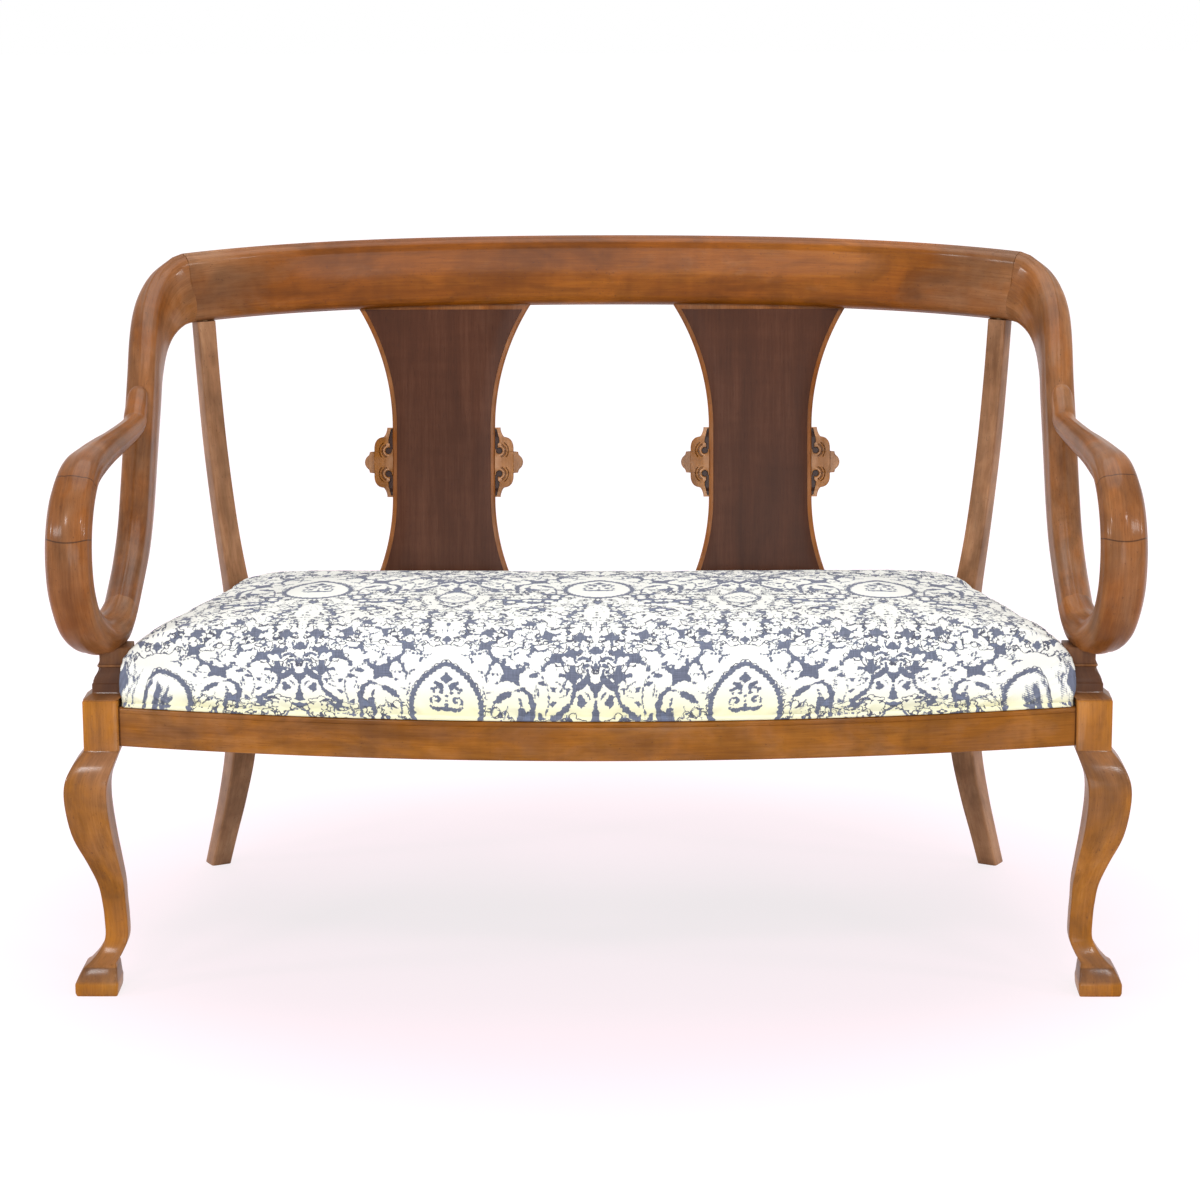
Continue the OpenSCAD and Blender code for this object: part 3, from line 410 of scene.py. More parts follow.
studio = {
    "floorSize": 14.0, "floorColour": (0.86, 0.84, 0.845, 1), "seenColour": (0.23, 0.11, 0.16, 1),
    # the seen floor's glow, lower near the settee as painted shade, and where it changes
    "paintedShadeLift": 0.77, "farLift": 0.99, "near": 0.45, "far": 1.05, "skyLight": 0.48,
    # name, place, aim, size, watts
    "lamps": [("overhead", (0.1, 0.6, 3.2), (0, 0.1, 0.3), 2.4, 42),
              ("leftFront", (-2.6, -2.7, 2.2), (0, 0, 0.4), 0.65, 23),
              ("rightFront", (2.7, -2.5, 2.4), (0, 0, 0.4), 0.65, 20),
              ("leftSide", (-3.3, -1.1, 1.6), (-0.3, 0.1, 0.7), 0.34, 24),
              ("rightSide", (3.3, -1.1, 1.6), (0.3, 0.1, 0.7), 0.34, 21),
              ("highLeft", (-1.2, -2.5, 2.7), (-0.3, 0, 0.4), 0.38, 20),
              ("highRight", (1.2, -2.4, 2.7), (0.3, 0, 0.4), 0.38, 17),
              ("lowFront", (0.2, -4.2, 0.9), (0, 0, 0.3), 1.6, 26)],
}


# 1 for rays that come from the camera, straight or by a mirror or a clear piece, 0 for other light
def seenRays(tree):
    path = newNode(tree, "ShaderNodeLightPath").outputs
    mirrored = calc(tree, "MAXIMUM", path["Is Glossy Ray"], path["Is Transmission Ray"])
    return calc(tree, "MAXIMUM", path["Is Camera Ray"], mirrored)


# A pale floor that takes the settee's shadow. Where it is seen it is darker and glows, so that it
# comes out nearly white around the shadow, but it glows less near the settee: a painted shade round it
def layFloor():
    s = studio["floorSize"]
    mesh = bpy.data.meshes.new("floor")
    mesh.from_pydata([(-s, -s, 0), (s, -s, 0), (s, s, 0), (-s, s, 0)], [], [(0, 1, 2, 3)])
    floor = addObject("floor", mesh)
    material, tree, shader = blankMaterial("paleFloor")
    tree.nodes.remove(shader)
    seen = seenRays(tree)
    colour = blendColour(tree, seen, studio["floorColour"], studio["seenColour"])
    matte = addNode(tree, "ShaderNodeBsdfDiffuse", {"Color": colour})
    place = addNode(tree, "ShaderNodeTexCoord", output="Object")
    reach = addNode(tree, "ShaderNodeVectorMath", {0: place}, 1, operation="LENGTH")
    # Less glow within about a metre of the middle: painted shade round the settee
    level = remap(tree, reach, studio["near"], studio["far"], studio["paintedShadeLift"], studio["farLift"],
                  interpolation_type="SMOOTHSTEP")
    lift = addNode(tree, "ShaderNodeEmission", {"Strength": calc(tree, "MULTIPLY", seen, level)})
    both = addNode(tree, "ShaderNodeAddShader", {0: matte, 1: lift})
    tree.links.new(both, tree.nodes["Material Output"].inputs["Surface"])
    mesh.materials.append(material)


# White surroundings, dimmer as light than as they are seen, and round lamps
def lightStudio():
    world = bpy.data.worlds.new("studio")
    bpy.context.scene.world = world
    world.use_nodes = True
    tree = world.node_tree
    background = tree.nodes["Background"]
    background.inputs["Color"].default_value = (1, 1, 1, 1)
    light = weightedSum(tree, studio["skyLight"], (seenRays(tree), 1 - studio["skyLight"]))
    tree.links.new(light, background.inputs["Strength"])
    for name, place, aim, size, watts in studio["lamps"]:
        data = bpy.data.lights.new(name, "AREA")
        data.shape, data.size, data.energy = "DISK", size, watts
        lamp = addObject(name, data)
        lamp.location = place
        lamp.rotation_euler = (Vector(aim) - Vector(place)).to_track_quat("-Z", "Y").to_euler()


layFloor()
lightStudio()
print("camera, floor and lights placed")


# One line runs from the middle of the crest rail to the thumb, in rows of x, y, z, half
# thickness, half width and the turn of its side from straight back to straight out
arm = {
    "crestX": 542, "crestY": 585, "crestBow": 65, "crestDrop": 14, "crestH": 88, "crestT": 36,
    "power": 4.5, "edge": 13.5, "armX": 582, "lapY": 100, "lapZ": blockTop + 60 + 42 * 0.72,
    "lapT": 38, "lapW": 40, "scrollW": 51, "scrollT": 42, "reach": 143, "rise": 186, "flare": 39,
    "crown": 2.4, "thumbCrown": 0.9, "thumbW": 27, "thumbT": 26, "crestSteps": 48, "steps": 8,
    # shares of the way from crest joint to lap joint: out, forward, down, width, quarter turns
    "stile": [[0, 0, 0, 1, 0.315], [0.50, 0.041, 0.032, 0.86, 0.50], [0.83, 0.104, 0.080, 0.80, 0.74],
              [0.99, 0.178, 0.142, 0.86, 0.90], [1.03, 0.262, 0.230, 0.96, 0.98],
              [1, 0.350, 0.340, 0.98, 1], [1, 0.464, 0.52, 0.88, 1], [1, 0.567, 0.69, 0.76, 1],
              [1, 0.667, 0.813, 0.48, 1], [1, 0.786, 0.897, 0.18, 1], [1, 0.9, 0.954, 0.05, 1],
              [1, 1, 1, 0, 1]],
    # shares of the scroll: out, forward, up, width, thickness
    "scroll": [[0, 0, 0, 0, 0], [0.14, 0.28, -0.070, 0.45, 0.5], [0.48, 0.56, -0.075, 0.78, 1],
               [0.80, 0.80, 0.045, 0.95, 1], [0.95, 0.95, 0.24, 1, 1], [1, 1, 0.445, 1, 1],
               [1, 0.95, 0.66, 0.96, 1], [0.95, 0.78, 0.85, 0.85, 0.9], [0.84, 0.50, 0.975, 0.55, 0.2],
               [0.66, 0.17, 1.015, 0.15, -1.5], [0.46, -0.18, 1.035, -0.25, -3.0],
               [0.27, -0.52, 1.045, -0.5, -4.5]],
    # the thumb: share of the way along the stile, width, thickness, stand-off
    "thumb": [[0.555, 1.02, 1, 0.72], [0.530, 1, 0.95, 0.26], [0.508, 0.97, 0.82, 0.04],
              [0.492, 0.85, 0.62, 0], [0.481, 0.55, 0.38, 0]],
}
arm["crestZ"] = whole["overallH"] - arm["crestH"] / 2
arm["endY"] = arm["crestY"] - arm["crestBow"]
arm["endZ"] = arm["crestZ"] - arm["crestDrop"]
archR = (arm["crestX"] ** 2 + arm["crestDrop"] ** 2) / (2 * arm["crestDrop"])


def crestLineY(x):
    return arm["crestY"] - arm["crestBow"] * (np.abs(x) / arm["crestX"]) ** arm["power"]


def crestLineZ(x):
    return arm["crestZ"] - archR + np.sqrt(archR**2 - x**2)


def crestTurn(x):
    slope = arm["power"] * arm["crestBow"] / arm["crestX"] * (x / arm["crestX"]) ** (arm["power"] - 1)
    return np.degrees(np.arctan(slope))


arm["stile"][0][4] = crestTurn(arm["crestX"]) / 90


# Middles, unit tangents, sides and widths of a line of rows
def lineFrames(rows):
    spots = rows[:, :3]
    along = unit(np.gradient(spots, axis=0))
    turn = np.radians(rows[:, 5])
    side = np.stack([np.sin(turn), np.cos(turn), 0 * turn], 1)
    side = unit(side - along * np.einsum("ij,ij->i", side, along)[:, None])
    return spots, along, side, np.cross(along, side)


# Where the thumb lies along the front edge of the stile, moved out from it by a distance
def edgeAt(rows, share, out):
    spots, width = lineFrames(rows)[::3]
    place = share * (len(rows) - 1)
    low = int(np.floor(place))
    spot = [spots[i] + width[i] * (rows[i, 4] + out) for i in (low, low + 1)]
    return mix(spot[0], spot[1], place - low)


def armLine():
    a = arm
    x = np.linspace(0, a["crestX"], a["crestSteps"] + 1)
    crest = np.stack([x, crestLineY(x), crestLineZ(x), 0 * x + a["crestT"] / 2, 0 * x + a["crestH"] / 2,
                      crestTurn(x)], 1)
    out, ahead, down, wide, turn = np.array(a["stile"]).T
    stileRows = np.stack([mix(a["crestX"], a["armX"], out), mix(a["endY"], a["lapY"], ahead),
                          mix(a["endZ"], a["lapZ"], down), mix(a["crestT"], a["lapT"], ahead) / 2,
                          mix(a["lapW"], a["crestH"], wide) / 2, 90 * turn], 1)
    out, ahead, up, wide, thick = np.array(a["scroll"]).T
    scrollRows = np.stack([a["armX"] + out * a["flare"], a["lapY"] - ahead * a["reach"],
                           a["lapZ"] + up * a["rise"], mix(a["lapT"], a["scrollW"], wide) / 2,
                           mix(a["lapW"], a["scrollT"], thick) / 2, 0 * out + 90], 1)
    coarse = smoothRows(stileRows, 3)
    thumbRows = []
    for share, wide, thick, stand in a["thumb"]:
        half = a["thumbT"] * thick / 2
        spot = edgeAt(coarse, share, 0.3 + half + a["thumbT"] * stand)
        thumbRows.append([*spot, a["thumbW"] * wide / 2, half, 90])
    scroll = smoothRows(np.vstack([scrollRows, thumbRows]), a["steps"])
    return crest, smoothRows(stileRows, a["steps"]), scroll


# A profile carried along a line: rounded rectangles whose faces bulge slightly, turned with the
# line, with each end eased over by a hair so that a joint shows as a fine groove
def sweptSolid(rows, frames, groove):
    spots, along, side, width = frames
    halfT, halfW = rows[:, 3], rows[:, 4]
    radius = np.minimum(arm["edge"], 0.85 * np.minimum(halfT, halfW))
    stout = smoothStep(halfT, 13, 20) * smoothStep(halfW, 13, 19)
    outline = roundOutline(halfT, halfW, radius, mix(arm["thumbCrown"], arm["crown"], stout))
    rings = spots[:, None] + side[:, None] * outline[:, :, :1] + width[:, None] * outline[:, :, 1:]
    grain = np.concatenate([runLength(spots)[:, None, None] + 0 * outline[:, :, :1], outline], 2)
    for end, depth in ((0, groove[0]), (-1, groove[1])):
        flat = spots[end] + (rings[end] - spots[end]) * (1 - depth / rows[end, 3:5].min())
        shifted = rings[end] + along[end] * (depth if end == 0 else -depth)
        if end == 0:
            rings = np.concatenate([[flat, shifted], rings[1:]])
            grain = np.concatenate([grain[:1], grain])
        else:
            rings = np.concatenate([rings[:-1], [shifted, flat]])
            grain = np.concatenate([grain, grain[-1:]])
    return rings, grain


crestRows, stileRows, scrollRows = armLine()
wholeLine = np.vstack([crestRows, stileRows[1:], scrollRows[1:]])
wholeFrames = lineFrames(wholeLine)
lineLength = runLength(wholeLine[:, :3])
crestEnd, lapEnd = len(crestRows) - 1, len(crestRows) + len(stileRows) - 2


# The stretch of the arm's line from one of its rows to another as a solid
def stretchOfArm(first, last, groove):
    pick = slice(first, last + 1)
    return sweptSolid(wholeLine[pick], [f[pick] for f in wholeFrames], groove)


def makeCrest():
    right, grain = (q[2:] for q in stretchOfArm(0, crestEnd, (0.01, 0.5)))
    rings = np.concatenate([right[::-1] * (-1, 1, 1), right[:1] * (0, 1, 1), right])
    grain = np.concatenate([grain[::-1] * (-1, 1, 1), grain[:1] * (0, 1, 1), grain])
    tone = smoothStep(np.abs(rings[..., 0]), 360, 530) - 0.15
    makeSolid("crestRail", "crest_rail", rings, grain, showWood, tone=tone)


def makeArms():
    # name, node, rows of the line, depth of the groove at each end, wood, tone, shift of the grain
    kinds = (("armStile", "arm_stile", (crestEnd, lapEnd), (0.5, 0.02), showWood, 0.62, 0),
             ("scrollArm", "scroll_arm", (lapEnd, len(wholeLine) - 1), (0.02, 3.0), scrollWood, 0.55, 2300))
    for (side, word), (name, node, ends, groove, wood, tone, shift) in product(bothSides, kinds):
        rings, grain = stretchOfArm(*ends, groove)
        gone, across = grain[..., 0] - grain[0, 0, 0], grain[..., 1]
        run = (lineLength[ends[0]] + gone + glue["arch"] * (1 - (across / glue["archHalf"]) ** 2)) / 1000
        lap = np.hypot((gone - 2) / glue["lapAlong"], across / glue["lapAcross"])
        lap = glue["lap"] * lap + (grain[..., 2] > 0)
        makeSolid(name + word.title(), f"{node}_{word}", rings * (side, 1, 1), grain, wood,
                  (700 + 900 * (side > 0) + shift, 0, 40), tone=tone, run=run, lap=lap)


makeCrest()
makeArms()
print("crest rail and arms made")


# Rings of a leg: level rounded squares at z, moved to x and y, with half sizes hx and hy
def levelRings(z, x, y, hx, hy, radius, turn=0.0, crown=0.0):
    outline = roundOutline(hx, hy, radius, crown, corner=5, side=3)
    c, s = np.cos(np.radians(turn)), np.sin(np.radians(turn))
    u, v = outline[:, :, 0], outline[:, :, 1]
    z, x, y = (column(q) + 0 * u for q in (z, x, y))
    return np.stack([x + u * c - v * s, y + u * s + v * c, z], -1), np.stack([z, u, v], -1)


frontLeg = {
    "kneeOut": 18, "ankleIn": 8, "ankleW": 28, "footW": 53, "edge": 2.5, "neckW": 38, "neckD": 40,
    "neckH": 60, "neckX": legX - 16.5, "neckY": 43.5,
    # height share, swing share, width share from ankle to block
    "leg": [[0.122, 0.40, 0.36], [0.158, -0.19, 0.13], [0.21, -1.04, 0], [0.29, -1.04, 0],
            [0.36, -0.86, 0.04], [0.44, -0.55, 0.24], [0.535, 0.14, 0.67], [0.66, 0.70, 1.33],
            [0.79, 1, 1.55], [0.88, 0.97, 1.57], [0.945, 0.56, 1.43], [1, 0, 1]],
    "foot": [[0, 0.72, 0.93], [0.004, 0.72, 0.95], [0.013, 0.73, 0.98], [0.044, 0.72, 0.99],
             [0.050, 0.715, 0.985], [0.062, 0.69, 0.94], [0.108, 0.52, 0.77], [0.113, 0.49, 0.735]],
    # height share of the neck, then how far outer, front and inner sides come to the block's
    "neck": [[0.02, 0.96, 0.93, 0.97], [0.09, 0.57, 0.42, 0.52], [0.10, 0.49, 0.33, 0.42],
             [0.12, 0.47, 0.3, 0.4], [0.27, 0.47, 0.3, 0.4], [0.285, 0.455, 0.29, 0.38],
             [0.30, 0.40, 0.25, 0.3], [0.35, 0.385, 0.24, 0.28], [0.42, 0.30, 0.2, 0.2],
             [0.48, 0.17, 0.11, 0.11], [0.55, 0.07, 0.05, 0.05], [0.60, 0.06, 0, 0],
             [0.612, 0.11, 0.035, 0.01], [0.635, 0.14, 0.06, 0.02], [0.66, 0.11, 0.035, 0.01],
             [0.67, 0.06, 0, 0], [0.74, 0, 0, 0], [0.995, 0, 0, 0]],
}


def frontLegRings():
    g, half = frontLeg, whole["blockW"] / 2
    height, swing, width = np.array(g["leg"]).T
    leg = smoothRows(np.stack([height * blockLow, swing * np.where(swing > 0, g["kneeOut"], g["ankleIn"]),
                               mix(g["ankleW"], whole["blockW"], width) / 2], 1), 8)
    foot = np.array(g["foot"]) * (blockLow, g["kneeOut"], g["footW"] / 2)
    block = [[blockLow - 0.4, 0.4, half + 0.1], [blockLow + 0.5, 0, half], [blockTop - 1.6, 0, half],
             [blockTop - 0.5, 0, half - 0.5], [blockTop, 0, half - 1.4]]
    z, swing, size = np.vstack([foot, leg[:-1], block]).T
    low = levelRings(z, legX + swing, half - swing, size, size, g["edge"], crown=0.25)
    height, outer, front, inner = np.array(g["neck"]).T
    x1 = mix(g["neckX"] - g["neckW"] / 2, blockIn, inner)
    x2 = mix(g["neckX"] + g["neckW"] / 2, whole["spanW"] / 2, outer)
    y1 = mix(g["neckY"] - g["neckD"] / 2, 0, front)
    y2 = mix(g["neckY"] + g["neckD"] / 2, whole["blockW"], inner)
    neck = levelRings(blockTop + height * g["neckH"], (x1 + x2) / 2, (y1 + y2) / 2,
                      (x2 - x1) / 2, (y2 - y1) / 2, g["edge"])
    return [np.concatenate(pair) for pair in zip(low, neck)]


# Browner over the knee, in the hollow above the foot and on the neck. Painted shade darkens the
# neck's mouldings, a line under the block and the bevel on the foot
def makeFrontLegs():
    rings, grain = frontLegRings()
    z = rings[..., 2]
    share = z / blockLow
    tone = 0.12 + 0.30 * smoothStep(share, 0.30, 0.60) + 0.45 * smoothStep(share, 0.84, 0.94)
    tone += 0.65 * smoothStep(share, 0.21, 0.14) * smoothStep(share, 0.045, 0.062)
    tone += 0.7 * smoothStep(z, blockTop - 1, blockTop + 1)
    tone -= 0.72 * smoothStep(z, blockLow - 2, blockLow + 2)
    # Painted shade: over the neck under the arm, all but its bead and one step, in a line under the block and
    # on the foot's bevel
    up = (z - blockTop) / frontLeg["neckH"]
    deep = (0.80 - 0.35 * smoothStep(up, 0.62, 0.72)) * smoothStep(up, 0.01, 0.05)
    deep *= 1 - np.exp(-((up - 0.635) / 0.02) ** 2) - 0.4 * np.exp(-((up - 0.095) / 0.02) ** 2)
    deep += 0.55 * np.exp(-((z - blockLow) / 1.0) ** 2) * (z < blockLow + 0.2)
    deep += 0.55 * smoothStep(share, 0.058, 0.066) * smoothStep(share, 0.114, 0.108)
    for side, word in bothSides:
        makeSolid("frontLeg" + word.title(), f"front_leg_{word}", rings * (side, 1, 1), grain, legWood,
                  (150 * side, 30, 0), tone=np.clip(tone, 0, 1), deep=np.clip(deep, 0, 1), sharp=28)


rearLeg = {
    "postX": whole["spanW"] / 2 - 140, "postW": 34, "topW": 25, "footW": 27, "splay": 47, "rake": 62,
    # height share, then shares of the splay, the rake and the change of width
    "leg": [[0, 1, 1, 1], [0.15, 0.75, 0.76, 0.85], [0.33, 0.45, 0.46, 0.55], [0.55, 0.16, 0.17, 0.2],
            [0.8, 0.02, 0.02, 0], [1, 0, 0, 0]],
    # height share, then shares of the way to the crest rail: across, back, change of width
    "post": [[0, 0, 0, 0], [0.1, 0.13, 0.02, 0.5], [0.3, 0.40, 0.14, 0.85], [0.56, 0.68, 0.42, 0.95],
             [0.8, 0.87, 0.72, 1], [1, 1, 1, 1]],
}


def makeRearLegs():
    g = rearLeg
    topX = arm["crestX"] - g["topW"] * 0.8
    topZ = crestLineZ(topX + g["topW"] / 2) - arm["crestH"] / 2 - 0.3
    height, splay, rake, thin = np.array(g["leg"]).T
    leg = smoothRows(np.stack([g["postX"] + splay * g["splay"], whole["seatD"] + rake * g["rake"],
                               height * railLow, mix(g["postW"], g["footW"], thin) / 2], 1), 7)
    height, across, back, thin = np.array(g["post"]).T
    post = smoothRows(np.stack([mix(g["postX"], topX, across), mix(whole["seatD"], crestLineY(topX), back),
                                mix(whole["railTop"], topZ, height),
                                mix(g["postW"], g["topW"], thin) / 2], 1), 8)
    x, y, z, half = np.vstack([leg, post]).T
    rings, grain = levelRings(z, x, y, half, half, 3.0, -crestTurn(arm["crestX"]), 0.3)
    # Part way to the pale tones: painted sheen on the flat facets
    for side, word in bothSides:
        makeSolid("rearLeg" + word.title(), f"rear_leg_{word}", rings * (side, 1, 1), grain, rearWood,
                  (410 * side, 10, 90), tone=0.42, sharp=40)


makeFrontLegs()
makeRearLegs()
print("legs made")


bow = {"rise": 72, "setback": 5, "thick": 30, "gap": 0.2}
bowFront = bow["setback"] - bow["rise"]
bowR = (blockIn**2 + bow["rise"] ** 2) / (2 * bow["rise"])


def bowY(x, inset=0.0):
    return bowFront + bowR - np.sqrt((bowR - inset) ** 2 - x**2)


# The rail's section, depth behind the face against height, carried along the bow: a rounded lower
# edge, a hollow face and a bead along the top
def makeFrontRail():
    h, t, end = whole["railH"], bow["thick"], blockIn - bow["gap"]
    turn = np.linspace(0, np.pi / 2, 7)
    section = np.concatenate([
        np.stack([1.6 - 1.6 * np.sin(turn), 1.6 - 1.6 * np.cos(turn)], 1),
        [[-0.15, h * 0.3], [-0.2, h * 0.55], [0, h - 7.2], [0.1, h - 6.8], [0.9, h - 6.6]],
        np.stack([3.3 - 3.2 * np.cos(turn), h - 3.3 + 3.3 * np.sin(turn)], 1),
        [[t / 2, h], [t, h], [t, h / 2], [t, 0], [t / 2, 0]]])
    nearEnd = [side * (blockIn - gone) for side in (-1, 1) for gone in (0.8, 1.4, 2.2)]
    x = column(np.sort(np.r_[np.linspace(-end, end, 161), nearEnd]))
    depth, z = section[:, 0], railLow + section[:, 1]
    rings = np.stack(np.broadcast_arrays(x, bowY(x, depth), z), -1)
    grain = np.stack(np.broadcast_arrays(x, depth, z), -1)
    # The rail takes painted shade at each end, where it meets a block
    makeSolid("frontRail", "front_rail", rings, grain, frontRailWood, (3100, 0, 0), sharp=34,
              tone=0.10 + 0.25 * smoothStep(-rings[..., 0], 150, 500),
              deep=0.8 * smoothStep(np.abs(rings[..., 0]), blockIn - 2.2, blockIn - 0.8))


makeFrontRail()
print("front rail made")


splat = {"gap": 419, "topW": 230, "waistW": 136, "thick": 10, "facing": 1.5, "border": 7, "rows": 90,
         "y": whole["seatD"] + 13}
splat["topY"] = crestLineY(splat["gap"] / 2)
splat["riseZ"] = crestLineZ(splat["gap"] / 2) - arm["crestH"] / 2 - whole["railTop"]
splat["lean"] = np.arctan((splat["topY"] - splat["y"]) / splat["riseZ"])
splat["length"] = splat["riseZ"] / np.cos(splat["lean"])
splat["waistLow"], splat["waistHigh"] = splat["length"] * 0.38, splat["length"] * 0.605


# Half width at a height along the splat: straight at the waist, a circle's arc above and below
def splatHalf(up):
    half, w = splat["waistW"] / 2, (splat["topW"] - splat["waistW"]) / 2
    out = np.zeros_like(up)
    for rise, gone in ((splat["waistLow"], splat["waistLow"] - up),
                       (splat["length"] - splat["waistHigh"], up - splat["waistHigh"])):
        r = (w**2 + rise**2) / (2 * w)
        reach = np.clip(gone, 0, r * 0.999)
        out += r - np.sqrt(r**2 - reach**2)
    return half + out


# From the plane of the splat, across, up and out of its front, to its place
def onSplat(side, across, up, out):
    lean = splat["lean"]
    return np.stack([side * splat["gap"] / 2 + across, splat["y"] + up * np.sin(lean) - out * np.cos(lean),
                     whole["railTop"] + up * np.cos(lean) + out * np.sin(lean)], -1)


# A board across each height: its section is a flat front and back with rounded edges
def boardRings(side, up, half, back, front, radius):
    thick = (front - back) / 2
    outline = roundOutline(half, 0 * half + thick, np.minimum(radius, thick * 0.98), corner=6, side=7)
    across, depth = outline[:, :, 0], outline[:, :, 1] + (front + back) / 2
    up = column(up) + 0 * across
    return onSplat(side, across, up, depth), np.stack([up, across, depth], -1)


# The board and, inside its border, the dark facing
def makeSplats():
    half = splat["thick"] / 2
    up = np.linspace(-2.5, splat["length"] + 3.0, splat["rows"])
    outer = splatHalf(up)
    inner = outer - (splat["border"] - 1) * np.hypot(1, np.gradient(outer, up))
    pick = (up > 2.6) & (up < splat["length"] - 4)
    for side, word in bothSides[::-1]:
        rings, grain = boardRings(side, up, outer, -half, half, 2.4)
        makeSolid("splat" + word.title(), f"splat_{word}", rings, grain, showWood, (1000 * side, 0, 0),
                  tone=0.35, sharp=40)
        rings, grain = boardRings(side, up[pick], inner[pick], half - 0.5, half + splat["facing"] * 0.6, 0.6)
        edge = np.abs(grain[..., 1]) / np.abs(grain[..., 1]).max(1, keepdims=True)
        # A thin line of painted shade runs round the facing's edge, where it sits on the board
        makeSolid("facing" + word.title(), f"splat_facing_{word}", rings, grain, darkVeneer,
                  (2000 * side, 0, 0), "dark_veneer", sharp=40, deep=0.9 * smoothStep(edge, 0.9925, 0.997))


makeSplats()
print("splats made")


# Carved ears beside the waists: outlines from the top corner to the tip, as distance out from the
# splat and up from the middle of the ear, and what is cut into or stands on the face
carving = {
    "high": 92, "thick": 13, "face": 5.9, "base": 5.0, "columns": 76, "rows": 231, "backColumns": 9,
    "start": -0.3, "eye": (5.3, 15.2, 4.3), "ball": (5.9, 23.2, 2.9),
    "shoulder": [(7.0, 46), (7.3, 43), (8.1, 40), (9.5, 36.6), (11.8, 33.7), (15, 33.1), (18.4, 31.6),
                 (21.4, 28.6), (23.3, 24.5), (24.1, 19.5), (24.1, 14.4)],
    "tip": [(30.2, 13.9), (30.6, 11.8), (31.4, 9.7), (34.3, 6.8), (36.2, 3.4), (36.8, 0)],
    # the hollow between the upper arm and the splat, cut deep and given painted shade: out, up, radius
    "hollow": [(0.2, 42.5, 2.2), (0.8, 38, 2.6), (1.4, 34, 3.0), (2.0, 30, 3.4), (2.2, 26.5, 3.4),
               (1.4, 22.5, 2.2), (1.2, 19, 2.2)],
    # tubes and grooves round the eye: radius, half width, first and last angle
    "tubes": [(6.3, 1.2, 84, -88), (10.5, 0.95, 62, -62)],
    "grooves": [(8.4, 1.15, 68, -66), (12.3, 0.6, 56, -40)],
}


# Distance from an arc around the eye of the ear
def arcDistance(x, y, radius, first, last):
    eyeX, eyeY = carving["eye"][:2]
    turn = np.clip(np.arctan2(y - eyeY, x - eyeX), np.radians(last), np.radians(first))
    return np.hypot(x - eyeX - radius * np.cos(turn), y - eyeY - radius * np.sin(turn))


# The face raised to a half round where a distance is less than its half width
def withTube(high, gone, half, share=1.0):
    top = carving["base"] + share * np.sqrt(np.maximum(half**2 - gone**2, 0))
    return np.where(gone < half, np.maximum(high, top), high)


# The face is a height over the outline: flat, cut down in the hollows and grooves, raised as half
# round tubes and a ball, stepped down at the tip and eased over along the outer edge
def makeCarvings():
    c = carving
    outline = np.vstack([smoothRows(c["shoulder"], 6), smoothRows(c["tip"], 6)])[::-1]
    y = column(np.linspace(-c["high"] / 2, c["high"] / 2, c["rows"]))
    reach = np.interp(np.abs(y), outline[:, 1], outline[:, 0])
    x = mix(c["start"], reach, np.linspace(0, 1, c["columns"]))
    up = np.abs(y) + 0 * x
    border = np.min([np.hypot(x - px, up - py) for px, py in outline[::2]], 0)
    hollow = np.min([np.hypot(x - px, up - py) - r for px, py, r in [*chain(c["hollow"], 4), c["eye"]]], 0)
    high = c["face"] - 1.6 * smoothStep(x, 24.0, 24.5) - 1.3 * smoothStep(up, 33, 40)
    high -= 3.6 * smoothStep(hollow, 0.25, -0.35)
    for radius, half, first, last in c["grooves"]:
        high -= 1.7 * smoothStep(arcDistance(x, up, radius, first, last), half + 0.15, half - 0.35)
    cut = c["face"] - high
    for radius, half, first, last in c["tubes"]:
        high = withTube(high, arcDistance(x, up, radius, first, last), half)
    high = withTube(high, np.hypot(x - c["ball"][0], up - c["ball"][1]), c["ball"][2], 0.55)
    high -= 0.9 * np.clip(1 - border / 0.9, 0, 1) ** 2
    raised = high > 5.95
    # Painted shade in the cuts, but not on the raised tubes and ball, and along the outer edge
    deep = np.where(raised, 0, smoothStep(cut, 1.2, 2.6) * (up < 44)) + 0.55 * smoothStep(border, 0.7, 0.2)
    tone = np.clip(0.15 + 0.55 * smoothStep(x, 24.0, 24.4) + 0.6 * smoothStep(up, 31, 36)
                   + 0.5 * smoothStep(x, 11, 2) * smoothStep(up, 12, 5) + 0.9 * raised, 0, 1)
    back = mix(c["start"], reach, np.linspace(1, 0, c["backColumns"]))
    wide = np.concatenate([x, back], 1)
    out = np.concatenate([high, 0 * back - c["thick"] / 2], 1)
    tall = y + 0 * wide
    tone, deep = np.concatenate([tone, 0 * back + 0.3], 1), np.concatenate([deep, 0 * back], 1)
    grain = np.stack([tall, wide, out], -1)
    level = splat["waistLow"] + c["high"] / 2 + tall
    for side, word in bothSides[::-1]:
        for way, where in ((side, "outer"), (-side, "inner")):
            rings = onSplat(side, way * (splat["waistW"] / 2 + wide), level, out)
            makeSolid("carving" + word.title() + where.title(), f"carving_{word}_{where}", rings, grain,
                      carvedWood, (400 * side, 200 * way, 0), sharp=38, tone=tone, deep=deep)


makeCarvings()
print("carvings made")


